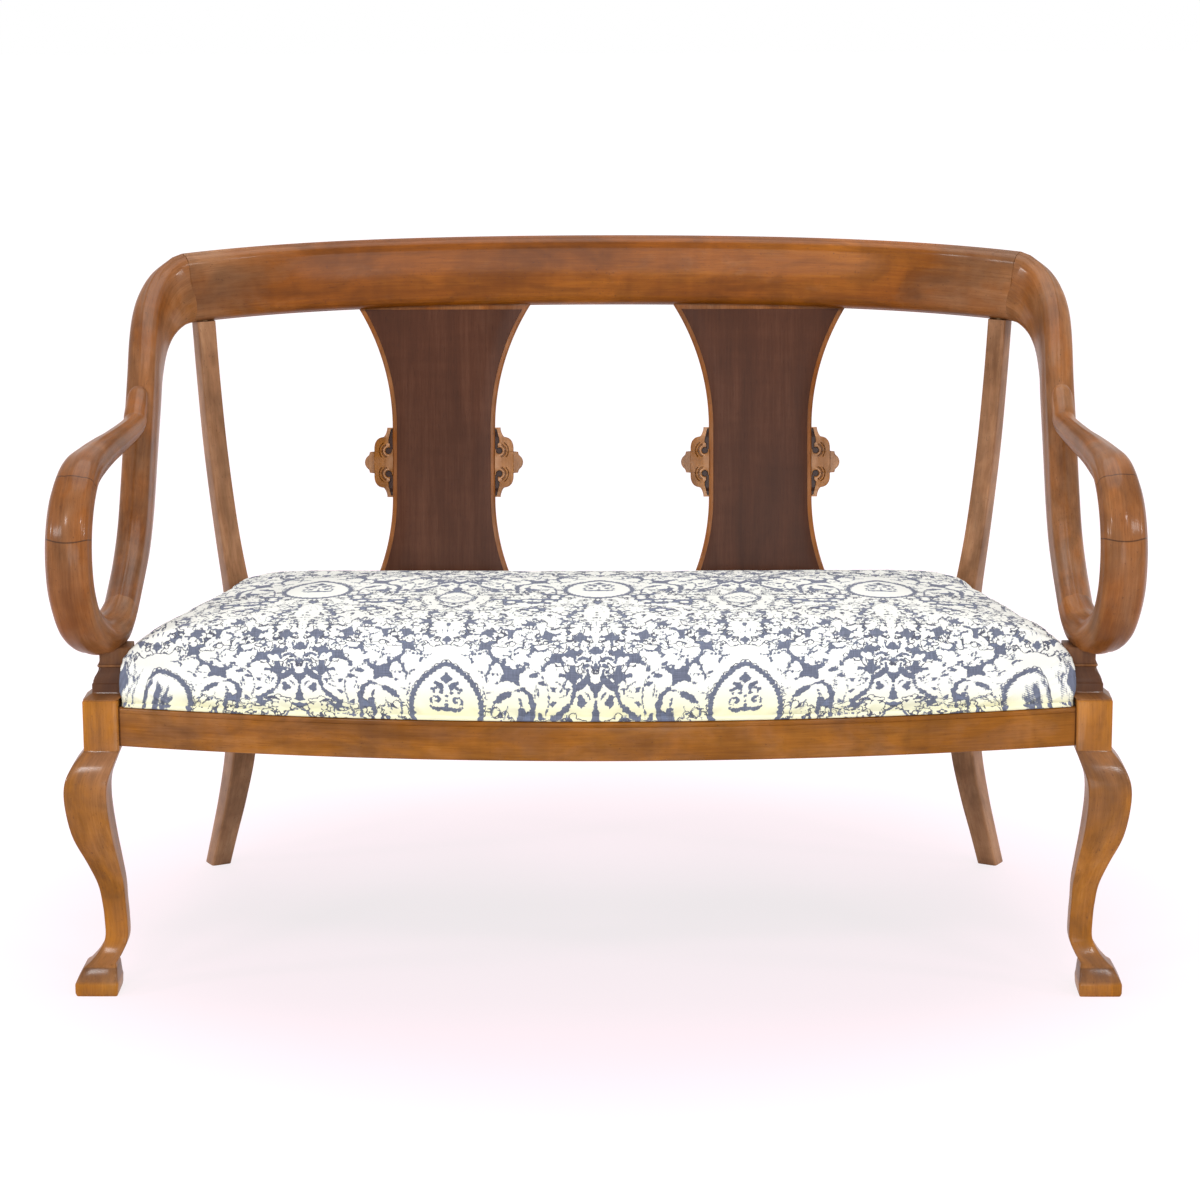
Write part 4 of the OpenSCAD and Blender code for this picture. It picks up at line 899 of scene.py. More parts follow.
seat = {
    "weltD": 6, "hemZ": whole["railTop"] + 0.3, "crown": 107, "fall": 0.32,
    "columns": 701, "rows": 351, "simColumns": 121, "simRows": 61, "simFrames": 20, "cap": 6,
    # scale of the plan, share of the crown's height, share of the eased plan
    "shares": [[1, 0, 0], [1, 0.075, 0], [1.006, 0.2, 0.2], [1.006, 0.40, 0.5], [0.997, 0.58, 1],
               [0.972, 0.71, 1], [0.93, 0.80, 1], [0.86, 0.86, 1], [0.72, 0.93, 1], [0.48, 0.98, 1],
               [0.22, 1, 1], [0, 1.005, 1]],
}
seat["hemInset"] = seat["weltD"] * 0.8
seat["coverX"] = blockIn - 4
seat["midY"] = (bowFront + whole["seatD"]) / 2
sideStart = blockIn + whole["railT"] / 2
sideRun = np.array([rearLeg["postX"] + rearLeg["postW"] / 2 - whole["railT"] / 4 - sideStart,
                    whole["seatD"] - whole["blockW"]])


# The outer face of the right-hand side rail, moved inward
def sideLineX(y, inward):
    return sideStart - inward / unit(sideRun)[1] + (y - whole["blockW"]) * sideRun[0] / sideRun[1]


# Right-hand side of the seat's plan, front corner to back corner, tight at the hem and eased above,
# and how far along it each point of the hem lies
def sidePlans():
    x, inward, w, d = seat["coverX"], seat["hemInset"] + 2, rearLeg["postW"], whole["seatD"]
    neckX = frontLeg["neckX"] - frontLeg["neckW"] / 2 - 2
    neckY1 = frontLeg["neckY"] - frontLeg["neckD"] / 2 - 10
    neckY2 = frontLeg["neckY"] + frontLeg["neckD"] / 2 + 2
    p = rearLeg["postX"]

    def onSide(y):
        return [sideLineX(y, inward), y]

    hem = [[x, bowY(x, seat["hemInset"])], [x, neckY1], [neckX, neckY1 + 2], [neckX, neckY2],
           onSide(neckY2 + 6), onSide(d / 2), onSide(d - w), [p - w * 0.3, d - w],
           [p - w * 0.75, d - w * 0.25], [p - w * 0.8, d + 2]]
    rise = [hem[0], [x - 2, neckY1 + 8], [x, neckY1 + 14], [x, neckY2 - 8],
            onSide(neckY2 + 12), onSide(d / 2), onSide(d - w * 1.2), [p - w * 0.05, d - w * 0.6],
            [p - w * 0.4, d - w * 0.15], [p - w * 0.8, d + 2]]
    return np.array(hem, float), np.array(rise, float), runLength(hem)


# A plan's edge for each point of the square's rim (a, b): a side line on both sides, a bow in front,
# inset and moved back, and a straight back
def planEdge(a, b, sideLine, lengths, inset, shift=0.0):
    t = (b + 1) / 2 * lengths[-1]
    along = np.stack([np.interp(t, lengths, sideLine[:, 0]) * np.sign(a + 1e-12),
                      np.interp(t, lengths, sideLine[:, 1])], -1)
    x = a * sideLine[0, 0]
    front = np.stack([x, bowY(x, inset) + shift], -1)
    back = np.stack([a * sideLine[-1, 0], 0 * a + sideLine[-1, 1]], -1)
    return np.where((np.abs(a) >= np.abs(b))[..., None], along, np.where((b < 0)[..., None], front, back))


# The seat as a grid over the square: the share of the way from its middle to its rim leads each
# point, by the rows of shares, from the crown down to the hem
def seatGrid(rows, columns):
    a, b, rho = squareGrid(rows, columns)
    depth = whole["seatD"] - bowFront
    shares = smoothRows(seat["shares"], 10)
    arc = runLength(shares[:, :2] * (depth / 2, seat["crown"]))
    scale, share, ease = (np.interp(-rho, arc / arc[-1] - 1, shares[:, k]) for k in range(3))
    hem, rise, lengths = sidePlans()
    edge = mix(*(planEdge(a / rho, b / rho, line, lengths, seat["hemInset"]) for line in (hem, rise)),
               np.clip(ease, 0, 1)[..., None])
    x = edge[..., 0] * scale
    y = seat["midY"] + (edge[..., 1] - seat["midY"]) * scale
    z = seat["hemZ"] + seat["crown"] * share * (1 - seat["fall"] * (y - bowFront) / depth)
    return np.stack([x, y, z], -1), a, b


# The woven pattern, in millimetres across (u) and along (v) one repeat. It is mirrored on both of its
# upright lines and drops by half a repeat from one line to the next
cloth = {
    "repeatU": 355, "repeatV": 624,
    # the grid of the fields, the value away from every mark, how far around a circle and around the
    # half repeat marks are worked out
    "step": 1.5, "nowhere": 99.0, "halo": 14, "margin": 50,
    # where the pattern starts at the front hem, the run up to the top, and the pace of both parts
    "startV": -345, "frontRun": 100, "frontPace": 1.05, "topPace": 0.8,
    # leaves: u, v, heading (degrees from +v towards +u), length, bend, half width, lobes, layer
    "leaves": [
        (6, 60, 52, 60, 34, 12, 6, 1), (166, 44, 0, 44, -30, 10, 5, 2), (2, 62, 14, 60, -18, 12, 6, 2),
        (30, 92, 30, 62, 30, 12, 6, 1), (84, 90, -10, 60, 46, 12, 6, 2), (6, 104, 52, 52, 52, 11, 5, 2),
        (0, 108, 0, 62, 0, 12, 6, 1), (4, 112, 30, 70, 26, 12, 7, 0), (2, 158, 150, 34, -60, 8, 4, 2),
        (24, 150, 8, 62, -22, 12, 6, 1), (0, 176, 40, 40, -70, 9, 5, 2), (128, 98, 10, 56, -30, 12, 6, 2),
        (150, 86, 20, 48, 30, 11, 5, 1), (166, 100, 4, 50, -16, 10, 5, 0),
        (6, -66, 150, 66, -34, 12, 6, 2), (4, -96, 118, 90, 46, 13, 8, 1),
        (0, -120, 160, 74, 26, 15, 7, 2), (22, -108, 104, 52, 30, 10, 5, 2),
        (60, -126, 74, 206, 238, 15, 16, 1), (88, -140, 110, 76, 160, 11, 7, 2),
        (58, -160, 150, 68, -64, 13, 7, 2), (50, -204, 128, 80, -62, 13, 8, 1),
        (96, -216, 100, 60, -90, 12, 6, 2), (0, -184, 180, 58, 0, 12, 6, 2),
        (2, -178, 148, 66, 24, 11, 7, 1), (3, -172, 118, 62, 38, 11, 6, 1),
        (0, -236, 180, 46, 0, 11, 5, 2), (2, -230, 142, 58, 44, 11, 6, 1),
        (8, -262, 120, 52, -40, 11, 5, 2), (150, -58, -64, 62, -54, 12, 6, 0),
        (150, -76, 30, 50, -60, 11, 5, 1), (100, -62, 70, 54, 50, 11, 6, 2),
        (140, -118, 28, 66, -68, 12, 6, 1), (110, -96, -34, 58, -56, 11, 6, 2),
        (146, -86, -80, 54, 50, 11, 5, 0), (136, -150, -30, 46, 40, 10, 5, 2),
        (70, -92, 40, 50, -60, 10, 5, 2), (160, -128, 170, 54, 20, 11, 5, 1),
        (30, -150, 90, 46, 60, 10, 5, 1), (128, -190, 30, 56, 50, 11, 6, 2),
        (150, -160, 160, 50, -40, 11, 5, 1), (24, -250, 60, 50, -60, 10, 5, 1),
        (120, -240, 20, 50, 60, 11, 5, 1), (84, -256, -30, 48, 50, 10, 5, 2),
        (58, 58, 36, 60, 40, 12, 6, 2), (108, 66, 30, 56, -50, 12, 6, 1), (14, -62, 60, 70, 30, 13, 7, 1),
        (96, -60, 84, 60, -40, 12, 6, 0),
    ],
    # the pale band without ground of its own between the rows of medallions: middle, half height
    "band": (14, 51),
    # gaps between round lobes, where the ground shows: u, v, reach, corners, turn
    "gaps": [(77, 17, 25, 4, 8), (57, 37, 16, 3, 25), (47, 58, 17, 4, 12), (132, 46, 19, 4, 6),
             (149, 51, 16, 4, 22), (151, 23, 19, 4, 40), (75, 88, 17, 3, 0), (120, 84, 18, 4, 30),
             (158, 81, 17, 4, 45), (104, 56, 15, 3, 40), (50, 84, 16, 4, 20), (20, 76, 12, 3, 10),
             (130, -44, 16, 4, 20), (26, 112, 15, 4, 0), (100, 108, 16, 4, 12), (140, 118, 15, 3, 30),
             (66, 124, 15, 3, 50), (22, 148, 15, 4, 30), (96, 150, 16, 4, 10), (150, 156, 15, 3, 0)],
    # blue patches of the ground and dark sprays, each a chain of u, v, radius
    "patches": [
        [(84, -3, 1.2), (92, -1, 2), (99, -7, 3.2), (103, -18, 3.8), (103, -30, 3.6), (101, -42, 3),
         (101, -58, 2.6)],
        [(88, -14, 1.2), (89, -22, 2), (90, -31, 4), (88, -40, 3.2), (86, -54, 3)],
        [(57, -23, 1.2), (62, -18, 3.4), (67, -12, 4.8), (73, -8, 3.8), (79, -5, 1.2)],
        [(57, -23, 1.3), (54, -32, 1.5), (53, -44, 1.5), (54, -58, 1.5)],
        [(111, -56, 1.2), (116, -42, 1.3), (120, -26, 1.4), (122, -10, 1.4), (121, 4, 1.3),
         (117, 15, 1.3), (110, 24, 1.2), (102, 28, 1.1), (92, 31, 1), (84, 34, 1)],
        [(127, -16, 3.6), (125, -18, 2)], [(127, 2, 3.8), (130, 4, 2)], [(113, -36, 3), (111, -32, 2)],
        [(115, 9, 3.2), (111, 11, 2)], [(106, 20, 3.4), (101, 19, 2.6)], [(114, 29, 3.6), (116, 34, 2.2)],
        [(97, 34, 2.6), (93, 36, 1.8)], [(86, 31, 2.2), (83, 30, 1.4)],
        [(107, 8, 0.9), (109, -2, 1.4), (110, -10, 0.8)],
        [(104, 0, 0.7), (105.5, -9, 1.2), (106, -14, 0.6)],
        [(151, -4, 1.6), (153, 4, 3.4), (158, 10, 4.6), (164, 15, 5), (169, 18, 4), (168, 26, 2),
         (168, 32, 0.9)],
        [(169, 16, 4), (174, 10, 4.6), (177.5, 6, 4.6), (177.5, -2, 2.2), (177.5, -14, 1.6),
         (177.5, -20, 2.4), (177.5, -26, 4.6), (176, -33, 5)],
        [(160, -6, 4.4), (163, -12, 3.6), (158, -13, 3), (162, -20, 1.2)],
        [(171, -6, 1.4), (168, -1, 1.6), (165, 2, 1.2)],
        [(151, -4, 1.8), (148, -14, 2.6), (142, -23, 3.6), (135, -30, 3.6), (126, -35, 2.6)],
        [(177.5, 56, 5.4), (177.5, 63, 3.6), (171.5, 58, 2.6), (168, 62, 1.6)],
        [(173, 42, 1.2), (167, 46, 1.9), (161, 46, 2.2), (156, 43, 1.4)],
        [(172, 38, 1.2), (167, 37, 1.9), (163, 33, 1.4)],
        [(177.5, 40, 1.6), (177.5, 35, 2.8), (174, 36, 1.4)], [(161, 27, 1.3), (166, 31, 1)],
        [(31, 46, 0.8), (36, 54, 1), (38, 62, 1.2)], [(20, 76, 1.2), (28, 80, 1.4), (38, 80, 1.6)],
        [(0, 68, 3.4), (4.4, 68, 2.2), (0, 74, 2.2), (0, 62, 2)], [(0, 84, 1), (0, 98, 1.4), (0, 104, 3)],
        [(78, 50, 1), (86, 58, 1.4), (96, 60, 1.4)], [(146, 4, 1), (142, -4, 1.2), (134, -8, 1)],
    ],
    # sprigs of small dark marks on the pale leaves: u, v, turn, size
    "sprigs": [(28, 42, 38, 1.25), (48, 17, 52, 1.35), (44, -12, 30, 1), (76, 44, 30, 1.1),
               (140, 6, -20, 1.1), (94, 78, -20, 1.1), (34, 66, 10, 1), (134, 66, 24, 1.1),
               (140, -40, 0, 0.9), (70, -38, -20, 1), (24, -132, 70, 1), (76, -112, 20, 1.1),
               (126, -148, -20, 1.2), (112, -196, 40, 1), (70, -196, 60, 1), (12, -206, 0, 1),
               (30, -196, 30, 1), (16, 132, 10, 1), (36, 176, -10, 1), (160, -92, 0, 1),
               (150, 112, 0, 1.1), (100, 108, 20, 1.1), (46, 118, 40, 1), (60, -230, 20, 1),
               (130, -262, 0, 1.1)],
    # the marks of one sprig: u, v, radius
    "sprig": [(0, -4, 0.7), (0, -1, 1.3), (0, 2, 1.5), (2.5, 4, 1.3), (4.5, 6.5, 1.2), (6, 9, 0.7),
              (-2.5, 4, 1.3), (-4.5, 6.5, 1.2), (-6, 9, 0.7), (3, -2, 1.3), (5.5, -3.5, 1.1),
              (-3, -2, 1.3), (-5.5, -3.5, 1.1)],
    # flowers: u, v, size, petals
    "flowers": [(88, -166, 13, 6), (44, -250, 10, 5), (140, -66, 9, 5), (66, 110, 10, 5)],
    # pointed medallion and egg: u, v, half width, height above and below, outline, teeth
    "medallion": (0, -36, 43, 68, 46, 1.6, 3.0), "egg": (0, 222, 24, 38, 30, 1.0, 1.4),
    # the fleur inside the medallion and the pale eye in it: u, v, radius
    "fleur": [(0, 16, 2.6), (0, 11, 4.4), (0, 6, 3.8), (5, 9, 2.8), (9, 0, 3.6), (13, 3, 2.6), (5, -4, 4),
              (12, -5, 2.6), (17, -7, 2.8), (15, -12, 2), (6, -12, 2.8), (0, -17, 2.2), (0, -24, 2),
              (0, -31, 2.6), (0, -37, 4), (5, -37, 3), (10, -38, 3.6), (15, -37, 3), (19, -34, 2)],
    "fleurEye": [(0, -5, 3.2), (0, -1, 2.2), (0, -9, 2.4)],
    # its volutes: u, v, first and last reach
    "volute": (12.5, -24, 7.2, 2.6),
}
clothLines = (np.arange(0, cloth["repeatU"] / 2 + cloth["step"], cloth["step"]),
              np.arange(-cloth["repeatV"] / 2, cloth["repeatV"] / 2 + cloth["step"], cloth["step"]))
clothV, clothU = np.meshgrid(clothLines[1], clothLines[0], indexing="ij")
# how far the repeats are moved that reach into the half repeat
clothShifts = [(cloth["repeatU"] * a, cloth["repeatV"] * (b + m)) for m in (-1, 0, 1)
               for a, b in ((0, 0), (0.5, 0.5), (0.5, -0.5), (1, 0))]


# A lobed leaf as circles: a row along a bent line, widest past its middle, and smaller ones along
# both of its edges. The line is also the leaf's vein
def leafCircles(u, v, heading, length, bend, half, lobes, steps=24):
    s = (np.arange(steps) + 0.5) / steps
    turn = np.radians(heading + bend * s)
    x = u + np.cumsum(np.sin(turn)) * length / steps
    y = v + np.cumsum(np.cos(turn)) * length / steps
    h = half * np.sin(np.pi * (0.16 + 0.80 * s)) ** 0.8
    i = np.clip(((np.arange(lobes) + 0.6) / lobes * steps).astype(int), 0, steps - 1)
    r = np.minimum(h[i] * 0.50, length / lobes * 0.56) * (0.85 + 0.3 * np.sin(5 * i + u))
    rows = [np.stack([x, y, h * 0.60], 1)]
    for side in (-1, 1):
        out = h[i] * (1 + 0.12 * np.sin(3 * i + side + v)) - r * 0.5
        rows.append(np.stack([x[i] + np.cos(turn[i]) * side * out + np.sin(turn[i]) * r * 0.5,
                              y[i] - np.sin(turn[i]) * side * out + np.cos(turn[i]) * r * 0.5, r], 1))
    vein = np.stack([x, y], 1)[3:-4]
    return np.concatenate(rows), np.c_[vein, np.linspace(1.0, 0.4, len(vein))]


# Everywhere a repeat of the pattern puts a circle, in and just outside one half repeat
def repeated(circles):
    c = np.atleast_2d(np.asarray(circles, float))
    q = np.concatenate([c * (side, 1, 1) + (a, b, 0) for a, b in clothShifts for side in (-1, 1)])
    margin = cloth["margin"]
    keep = (q[:, 0] > -margin) & (q[:, 0] < cloth["repeatU"] / 2 + margin)
    keep &= np.abs(q[:, 1]) < cloth["repeatV"] / 2 + margin
    return np.unique(np.round(q[keep], 3), axis=0)


def emptyField():
    return np.full(clothU.shape, cloth["nowhere"])


# Distance to the nearest of the circles at each point of the half repeat, less than 0 inside
def nearest(circles, field=None):
    field = emptyField() if field is None else field
    for cx, cy, r in repeated(circles):
        reach = r + cloth["halo"]
        i1, i2 = np.searchsorted(clothLines[1], (cy - reach, cy + reach))
        j1, j2 = np.searchsorted(clothLines[0], (cx - reach, cx + reach))
        if i2 > i1 and j2 > j1:
            pick = (slice(i1, i2), slice(j1, j2))
            field[pick] = np.minimum(field[pick], np.hypot(clothU[pick] - cx, clothV[pick] - cy) - r)
    return field


# Distance to a pointed oval, the overlap of two equal circles, with its own height below the middle
def pointedOval(u, v, half, high, low):
    ovals = []
    for a, b in clothShifts:
        x, y = np.abs(clothU - u - a), clothV - v - b
        radius = (half**2 + np.where(y > 0, high, low) ** 2) / (2 * half)
        ovals.append(np.hypot(x + radius - half, y) - radius)
    return np.min(ovals, 0)


# Patches between a few circles that nearly touch: concave sides that run out into thin points
def cutGaps(field):
    for (u, v, reach, corners, turn), side, (a, b) in product(cloth["gaps"], (-1, 1), clothShifts):
        x, y = clothU - a - side * u, clothV - v - b
        pick = (np.abs(x) < reach) & (np.abs(y) < reach)
        if not pick.any():
            continue
        x, y = x[pick], y[pick]
        gap = np.hypot(x, y) - 0.9 * reach
        for k in range(corners):
            angle = np.radians(side * turn + k * 360 / corners)
            radius = reach * np.sin(np.pi / corners) * (0.97 - 0.16 * abs(np.sin(2.3 * k + u)))
            gap = np.maximum(gap, radius - np.hypot(x - reach * np.sin(angle), y - reach * np.cos(angle)))
        field[pick] = np.minimum(field[pick], gap)


def ringOf(u, v, reach, size, count, first):
    t = np.radians(first + np.arange(count) * 360 / count)
    return np.stack([u + reach * np.sin(t), v + reach * np.cos(t), 0 * t + size], 1)


# Fields over the half repeat: the pale band, four layers of leaves, the small marks on top and the
# blue patches
def clothFields():
    c = cloth
    mid, half = c["band"]
    wave = 5 * np.sin(clothU * 2 * np.pi / 44) + 3 * np.sin(clothU * 2 * np.pi / 23 + 1)
    band = np.min([np.abs(clothV - mid - k * c["repeatV"] / 2) - half - wave for k in (-1, 0, 1)], 0)
    layers = [emptyField() for _ in range(4)]
    marks, blue = emptyField(), emptyField()
    for *shape, layer in c["leaves"]:
        circles, vein = leafCircles(*shape)
        nearest(circles, layers[layer])
        if layer != 1:
            nearest(vein, marks)
    for patch in c["patches"]:
        nearest(chain(patch), blue if max(q[2] for q in patch) > 3.5 else marks)
    cutGaps(blue)
    teeth = np.abs(((clothV + 0.5 * clothU) / 7) % 1 - 0.5) * 2
    ovals = [(pointedOval(*o[:5]), o[5], o[6]) for o in (c["medallion"], c["egg"])]
    layers[3] = np.minimum(layers[3], np.minimum(ovals[0][0], ovals[1][0]) - 2.2)
    for field in (marks, blue):
        field[layers[3] < 0] = c["nowhere"]
    for oval, thick, tooth in ovals:
        marks = np.minimum(marks, np.abs(oval + 1) - thick - tooth * teeth)
    nearest(c["fleur"], marks)
    u, v, wide, narrow = c["volute"]
    turn, reach = np.radians(np.linspace(-60, 250, 22)), np.linspace(wide, narrow, 22)
    curl = [u + reach * np.cos(turn), v + reach * np.sin(turn), np.linspace(1.2, 2.4, 22)]
    nearest(np.stack(curl, 1), marks)
    marks = np.maximum(marks, -nearest(c["fleurEye"]))
    eggU, eggV = c["egg"][:2]
    nearest([(eggU, eggV + k, 1.7) for k in (-16, 0, 16)], marks)
    nearest(ringOf(eggU, eggV, 8, 2.3, 6, 30), marks)
    for u, v, size, petals in c["flowers"]:
        flower = nearest([*ringOf(u, v, size * 0.62, size * 0.42, petals, 15), (u, v, size * 0.5)])
        for field in (marks, blue):
            field[flower < 0.5] = c["nowhere"]
        layers[3] = np.minimum(layers[3], flower)
        nearest([*ringOf(u, v, size * 0.36, size * 0.1 + 0.3, petals, 15 + 180 / petals),
                 (u, v, size * 0.17)], marks)
    x, y, r = (np.array(c["sprig"]) * 1.2).T
    for u, v, turn, size in c["sprigs"]:
        cosine, sine = np.cos(np.radians(turn)), np.sin(np.radians(turn))
        sprig = [x * cosine + y * sine, y * cosine - x * sine, r]
        nearest(np.stack(sprig, 1) * size + (u, v, 0), marks)
    return [band, *layers, marks, blue]


# The fields at cloth coordinates u, v, folded into the half repeat
def readCloth(u, v):
    wide, tall, step = cloth["repeatU"], cloth["repeatV"], cloth["step"]
    x = np.abs((u + wide / 2) % wide - wide / 2) / step
    y = ((v + tall / 2) % tall) / step
    return [readGrid(field, y, x) for field in fields]


weave = {"ground": (0.110, 0.133, 0.206, 1), "groundLight": (0.185, 0.210, 0.296, 1),
         "outline": (0.085, 0.090, 0.125, 1), "cream": (0.87, 0.87, 0.82, 1), "aged": (0.87, 0.84, 0.57, 1),
         "lineWidth": 0.80, "threadU": 0.55, "threadV": 0.6875, "toothSteps": (1.3, 4.2, 1), "tooth": 1.5,
         "gritSteps": (0.7, 1.1, 1), "grit": 0.5, "lobe": 8.5, "lobeRise": 6.0, "barb": 4.2,
         "barbRise": 2.2, "cell": 16, "cellShare": 0.41, "edge": 0.2}


# Woven damask: from the fields of the pattern, the ground, then the band and each layer of leaves
# in cream with a dark line around, then the marks. Edges step by the thread and are cut into lobes
# and barbs, which are cells mirrored as the pattern is. Colours vary along threads, and the bump has
# the two thread directions and the raised cream weave
def clothFinish(name):
    material, tree, shader = blankMaterial(name)
    w = weave
    place = stretch(tree, addNode(tree, "ShaderNodeUVMap", uv_map="cloth"), (1000, 1000, 1000))
    parts = newNode(tree, "ShaderNodeSeparateXYZ", {0: place}).outputs
    across = calc(tree, "PINGPONG", parts[0], cloth["repeatU"] / 2)
    folded = addNode(tree, "ShaderNodeCombineXYZ", {0: across, 1: parts[1]})

    def speckle(steps):
        snapped = addNode(tree, "ShaderNodeVectorMath", {0: place, 1: steps}, operation="SNAP")
        speck = addNode(tree, "ShaderNodeTexWhiteNoise", {"Vector": snapped}, noise_dimensions="2D")
        return calc(tree, "SUBTRACT", speck, 0.5)

    def scallops(cell, rise, middle=0.42):
        inputs = {"Vector": folded, "Scale": 1 / cell, "Randomness": 0.85}
        gone = addNode(tree, "ShaderNodeTexVoronoi", inputs, "Distance", voronoi_dimensions="2D")
        return weightedSum(tree, middle * rise, (gone, -rise))

    def inside(value, edge=0.0):
        return remap(tree, value, edge - w["edge"], edge + w["edge"], 1.0, 0.0)

    def noise(*settings):
        return noiseAt(tree, place, *settings)

    jag = weightedSum(tree, 0.0, (speckle(w["gritSteps"]), w["grit"]),
                      (speckle(w["toothSteps"]), w["tooth"]))
    lobes, barbs = scallops(w["lobe"], w["lobeRise"]), scallops(w["barb"], w["barbRise"])
    edging = calc(tree, "SUBTRACT", weightedSum(tree, 0.0, (barbs, -0.6), (jag, 0.7)), lobes)
    cells = calc(tree, "SUBTRACT", jag, scallops(w["cell"], w["cell"], w["cellShare"]))
    slubs = noise((0.035, 1.1, 1), 3, 0.6), noise((1.3, 0.05, 1), 3, 0.6)
    streaks = calc(tree, "MULTIPLY", calc(tree, "ADD", *slubs), 0.5)
    lightness = remap(tree, streaks, 0.36, 0.64, 0.0, 1.0)
    colour, raised = blendColour(tree, lightness, w["ground"], w["groundLight"]), 0.0
    cloud = weightedSum(tree, 0.45, (noise((0.012, 0.012, 1), 3, 0.5), 1.0))
    aged = calc(tree, "MULTIPLY", attributeOf(tree, "aged"), cloud, clamp=True)
    pale = blendColour(tree, aged, w["cream"], w["aged"])
    pale = shadeBy(tree, pale, remap(tree, streaks, 0.3, 0.7, 0.93, 1.0))
    for word in ("cells", "band", "leafA", "leafB", "leafC", "leafD"):
        value = cells if word == "cells" else calc(tree, "ADD", attributeOf(tree, word), edging)
        mask = inside(value)
        colour = blendColour(tree, mask, colour, pale)
        raised = calc(tree, "MAXIMUM", raised, mask)
        if word != "band":
            line = inside(calc(tree, "ABSOLUTE", value), w["lineWidth"])
            colour = blendColour(tree, line, colour, w["outline"])
            raised = calc(tree, "SUBTRACT", raised, line, clamp=True)
    small = weightedSum(tree, attributeOf(tree, "marks"), (barbs, 0.6), (jag, 0.6))
    patch = weightedSum(tree, attributeOf(tree, "blue"), (barbs, 1.0), (lobes, 0.55), (jag, 0.7))
    marks = calc(tree, "MAXIMUM", inside(small), inside(patch))
    colour = blendColour(tree, marks, colour, blendColour(tree, lightness, w["outline"], w["groundLight"]))
    raised = calc(tree, "SUBTRACT", raised, marks, clamp=True)
    threads = threadWave(tree, parts[0], parts[1], w["threadU"], w["threadV"])
    height = weightedSum(tree, 0.0, (streaks, 2.0), (raised, 0.6), (threads, 0.5))
    dressShader(tree, shader, colour, remap(tree, raised, 0.0, 1.0, 0.82, 0.66), height, 0.35, 0.0003,
                {"Specular IOR Level": 0.2, "Sheen Weight": 0.08, "Sheen Roughness": 0.5})
    return material


damask = clothFinish("damask")
fields = clothFields()
print("pattern of the cloth worked out")


# Puts the cloth's coordinates and the pattern's fields on a piece, aged low down at the front
def dressCloth(piece, u, v, aged):
    mesh = piece.data
    words = ("band", "leafA", "leafB", "leafC", "leafD", "marks", "blue")
    setFields(mesh, dict(zip(words, readCloth(u, v)), aged=aged))
    corners = np.empty(len(mesh.loops), np.int32)
    mesh.loops.foreach_get("vertex_index", corners)
    flat = np.stack([u.ravel(), v.ravel()], 1)[corners] / 1000
    mesh.uv_layers.new(name="cloth").data.foreach_set("uv", flat.astype(np.float32).ravel())


# Pattern coordinates of the seat's grid: how far the threads run from its middle, straight over the
# top and down the edges, with the repeat a little shorter over the top
def clothCoords(grid):
    def run(axis):
        step = np.linalg.norm(np.diff(grid, axis=axis), axis=-1)
        total = np.concatenate([0 * np.take(step, [0], axis), np.cumsum(step, axis)], axis)
        return total - np.take(total, [grid.shape[axis] // 2], axis)

    c, up = cloth, run(0)
    up = up - up[0, grid.shape[1] // 2]
    top = c["frontRun"] * c["frontPace"] + c["topPace"] * (up - c["frontRun"])
    return run(1), c["startV"] + np.where(up < c["frontRun"], c["frontPace"] * up, top)


# The cover is cut 1.2 per cent large and blown out by the stuffing
coverCloth = {
    "quality": 8, "mass": 0.3, "time_scale": 1.0, "tension_stiffness": 25, "compression_stiffness": 25,
    "shear_stiffness": 12, "bending_stiffness": 1.2, "shrink_min": -0.012, "use_pressure": True,
    "uniform_pressure_force": 2.5, "vertex_group_mass": "held", "air_damping": 4,
}


# The cover as a sheet held at its hem, settled by a simulation on a coarse grid. What comes back is
# how far each point has moved, in millimetres
def settleCover():
    n, m = seat["simRows"], seat["simColumns"]
    points = toFrame(seatGrid(n, m)[0].reshape(-1, 3))
    mesh = bpy.data.meshes.new("coverSheet")
    mesh.from_pydata(points.tolist(), [], gridQuads(n, m).tolist())
    sheet = addObject("coverSheet", mesh)
    sheet.vertex_groups.new(name="held").add(rimOf(n, m).tolist(), 1.0, "REPLACE")
    cover = sheet.modifiers.new("cover", "CLOTH")
    for word, value in coverCloth.items():
        setattr(cover.settings, word, value)
    cover.settings.effector_weights.gravity = 0
    cover.collision_settings.use_collision = False
    cover.point_cache.frame_end = seat["simFrames"] + 10
    for step in range(1, seat["simFrames"] + 1):
        bpy.context.scene.frame_set(step)
    settled = sheet.evaluated_get(bpy.context.evaluated_depsgraph_get()).data
    after = np.empty(len(points) * 3)
    settled.vertices.foreach_get("co", after)
    moved = (after.reshape(-1, 3) - points) * 1000
    bpy.context.scene.frame_set(1)
    bpy.data.objects.remove(sheet)
    far = np.linalg.norm(moved, axis=1, keepdims=True)
    print("cover settled, furthest move", round(float(far.max()), 1), "mm, mean", round(float(far.mean()), 1))
    moved *= np.minimum(1, seat["cap"] / np.maximum(far, 1e-9))
    return moved.reshape(n, m, 3)


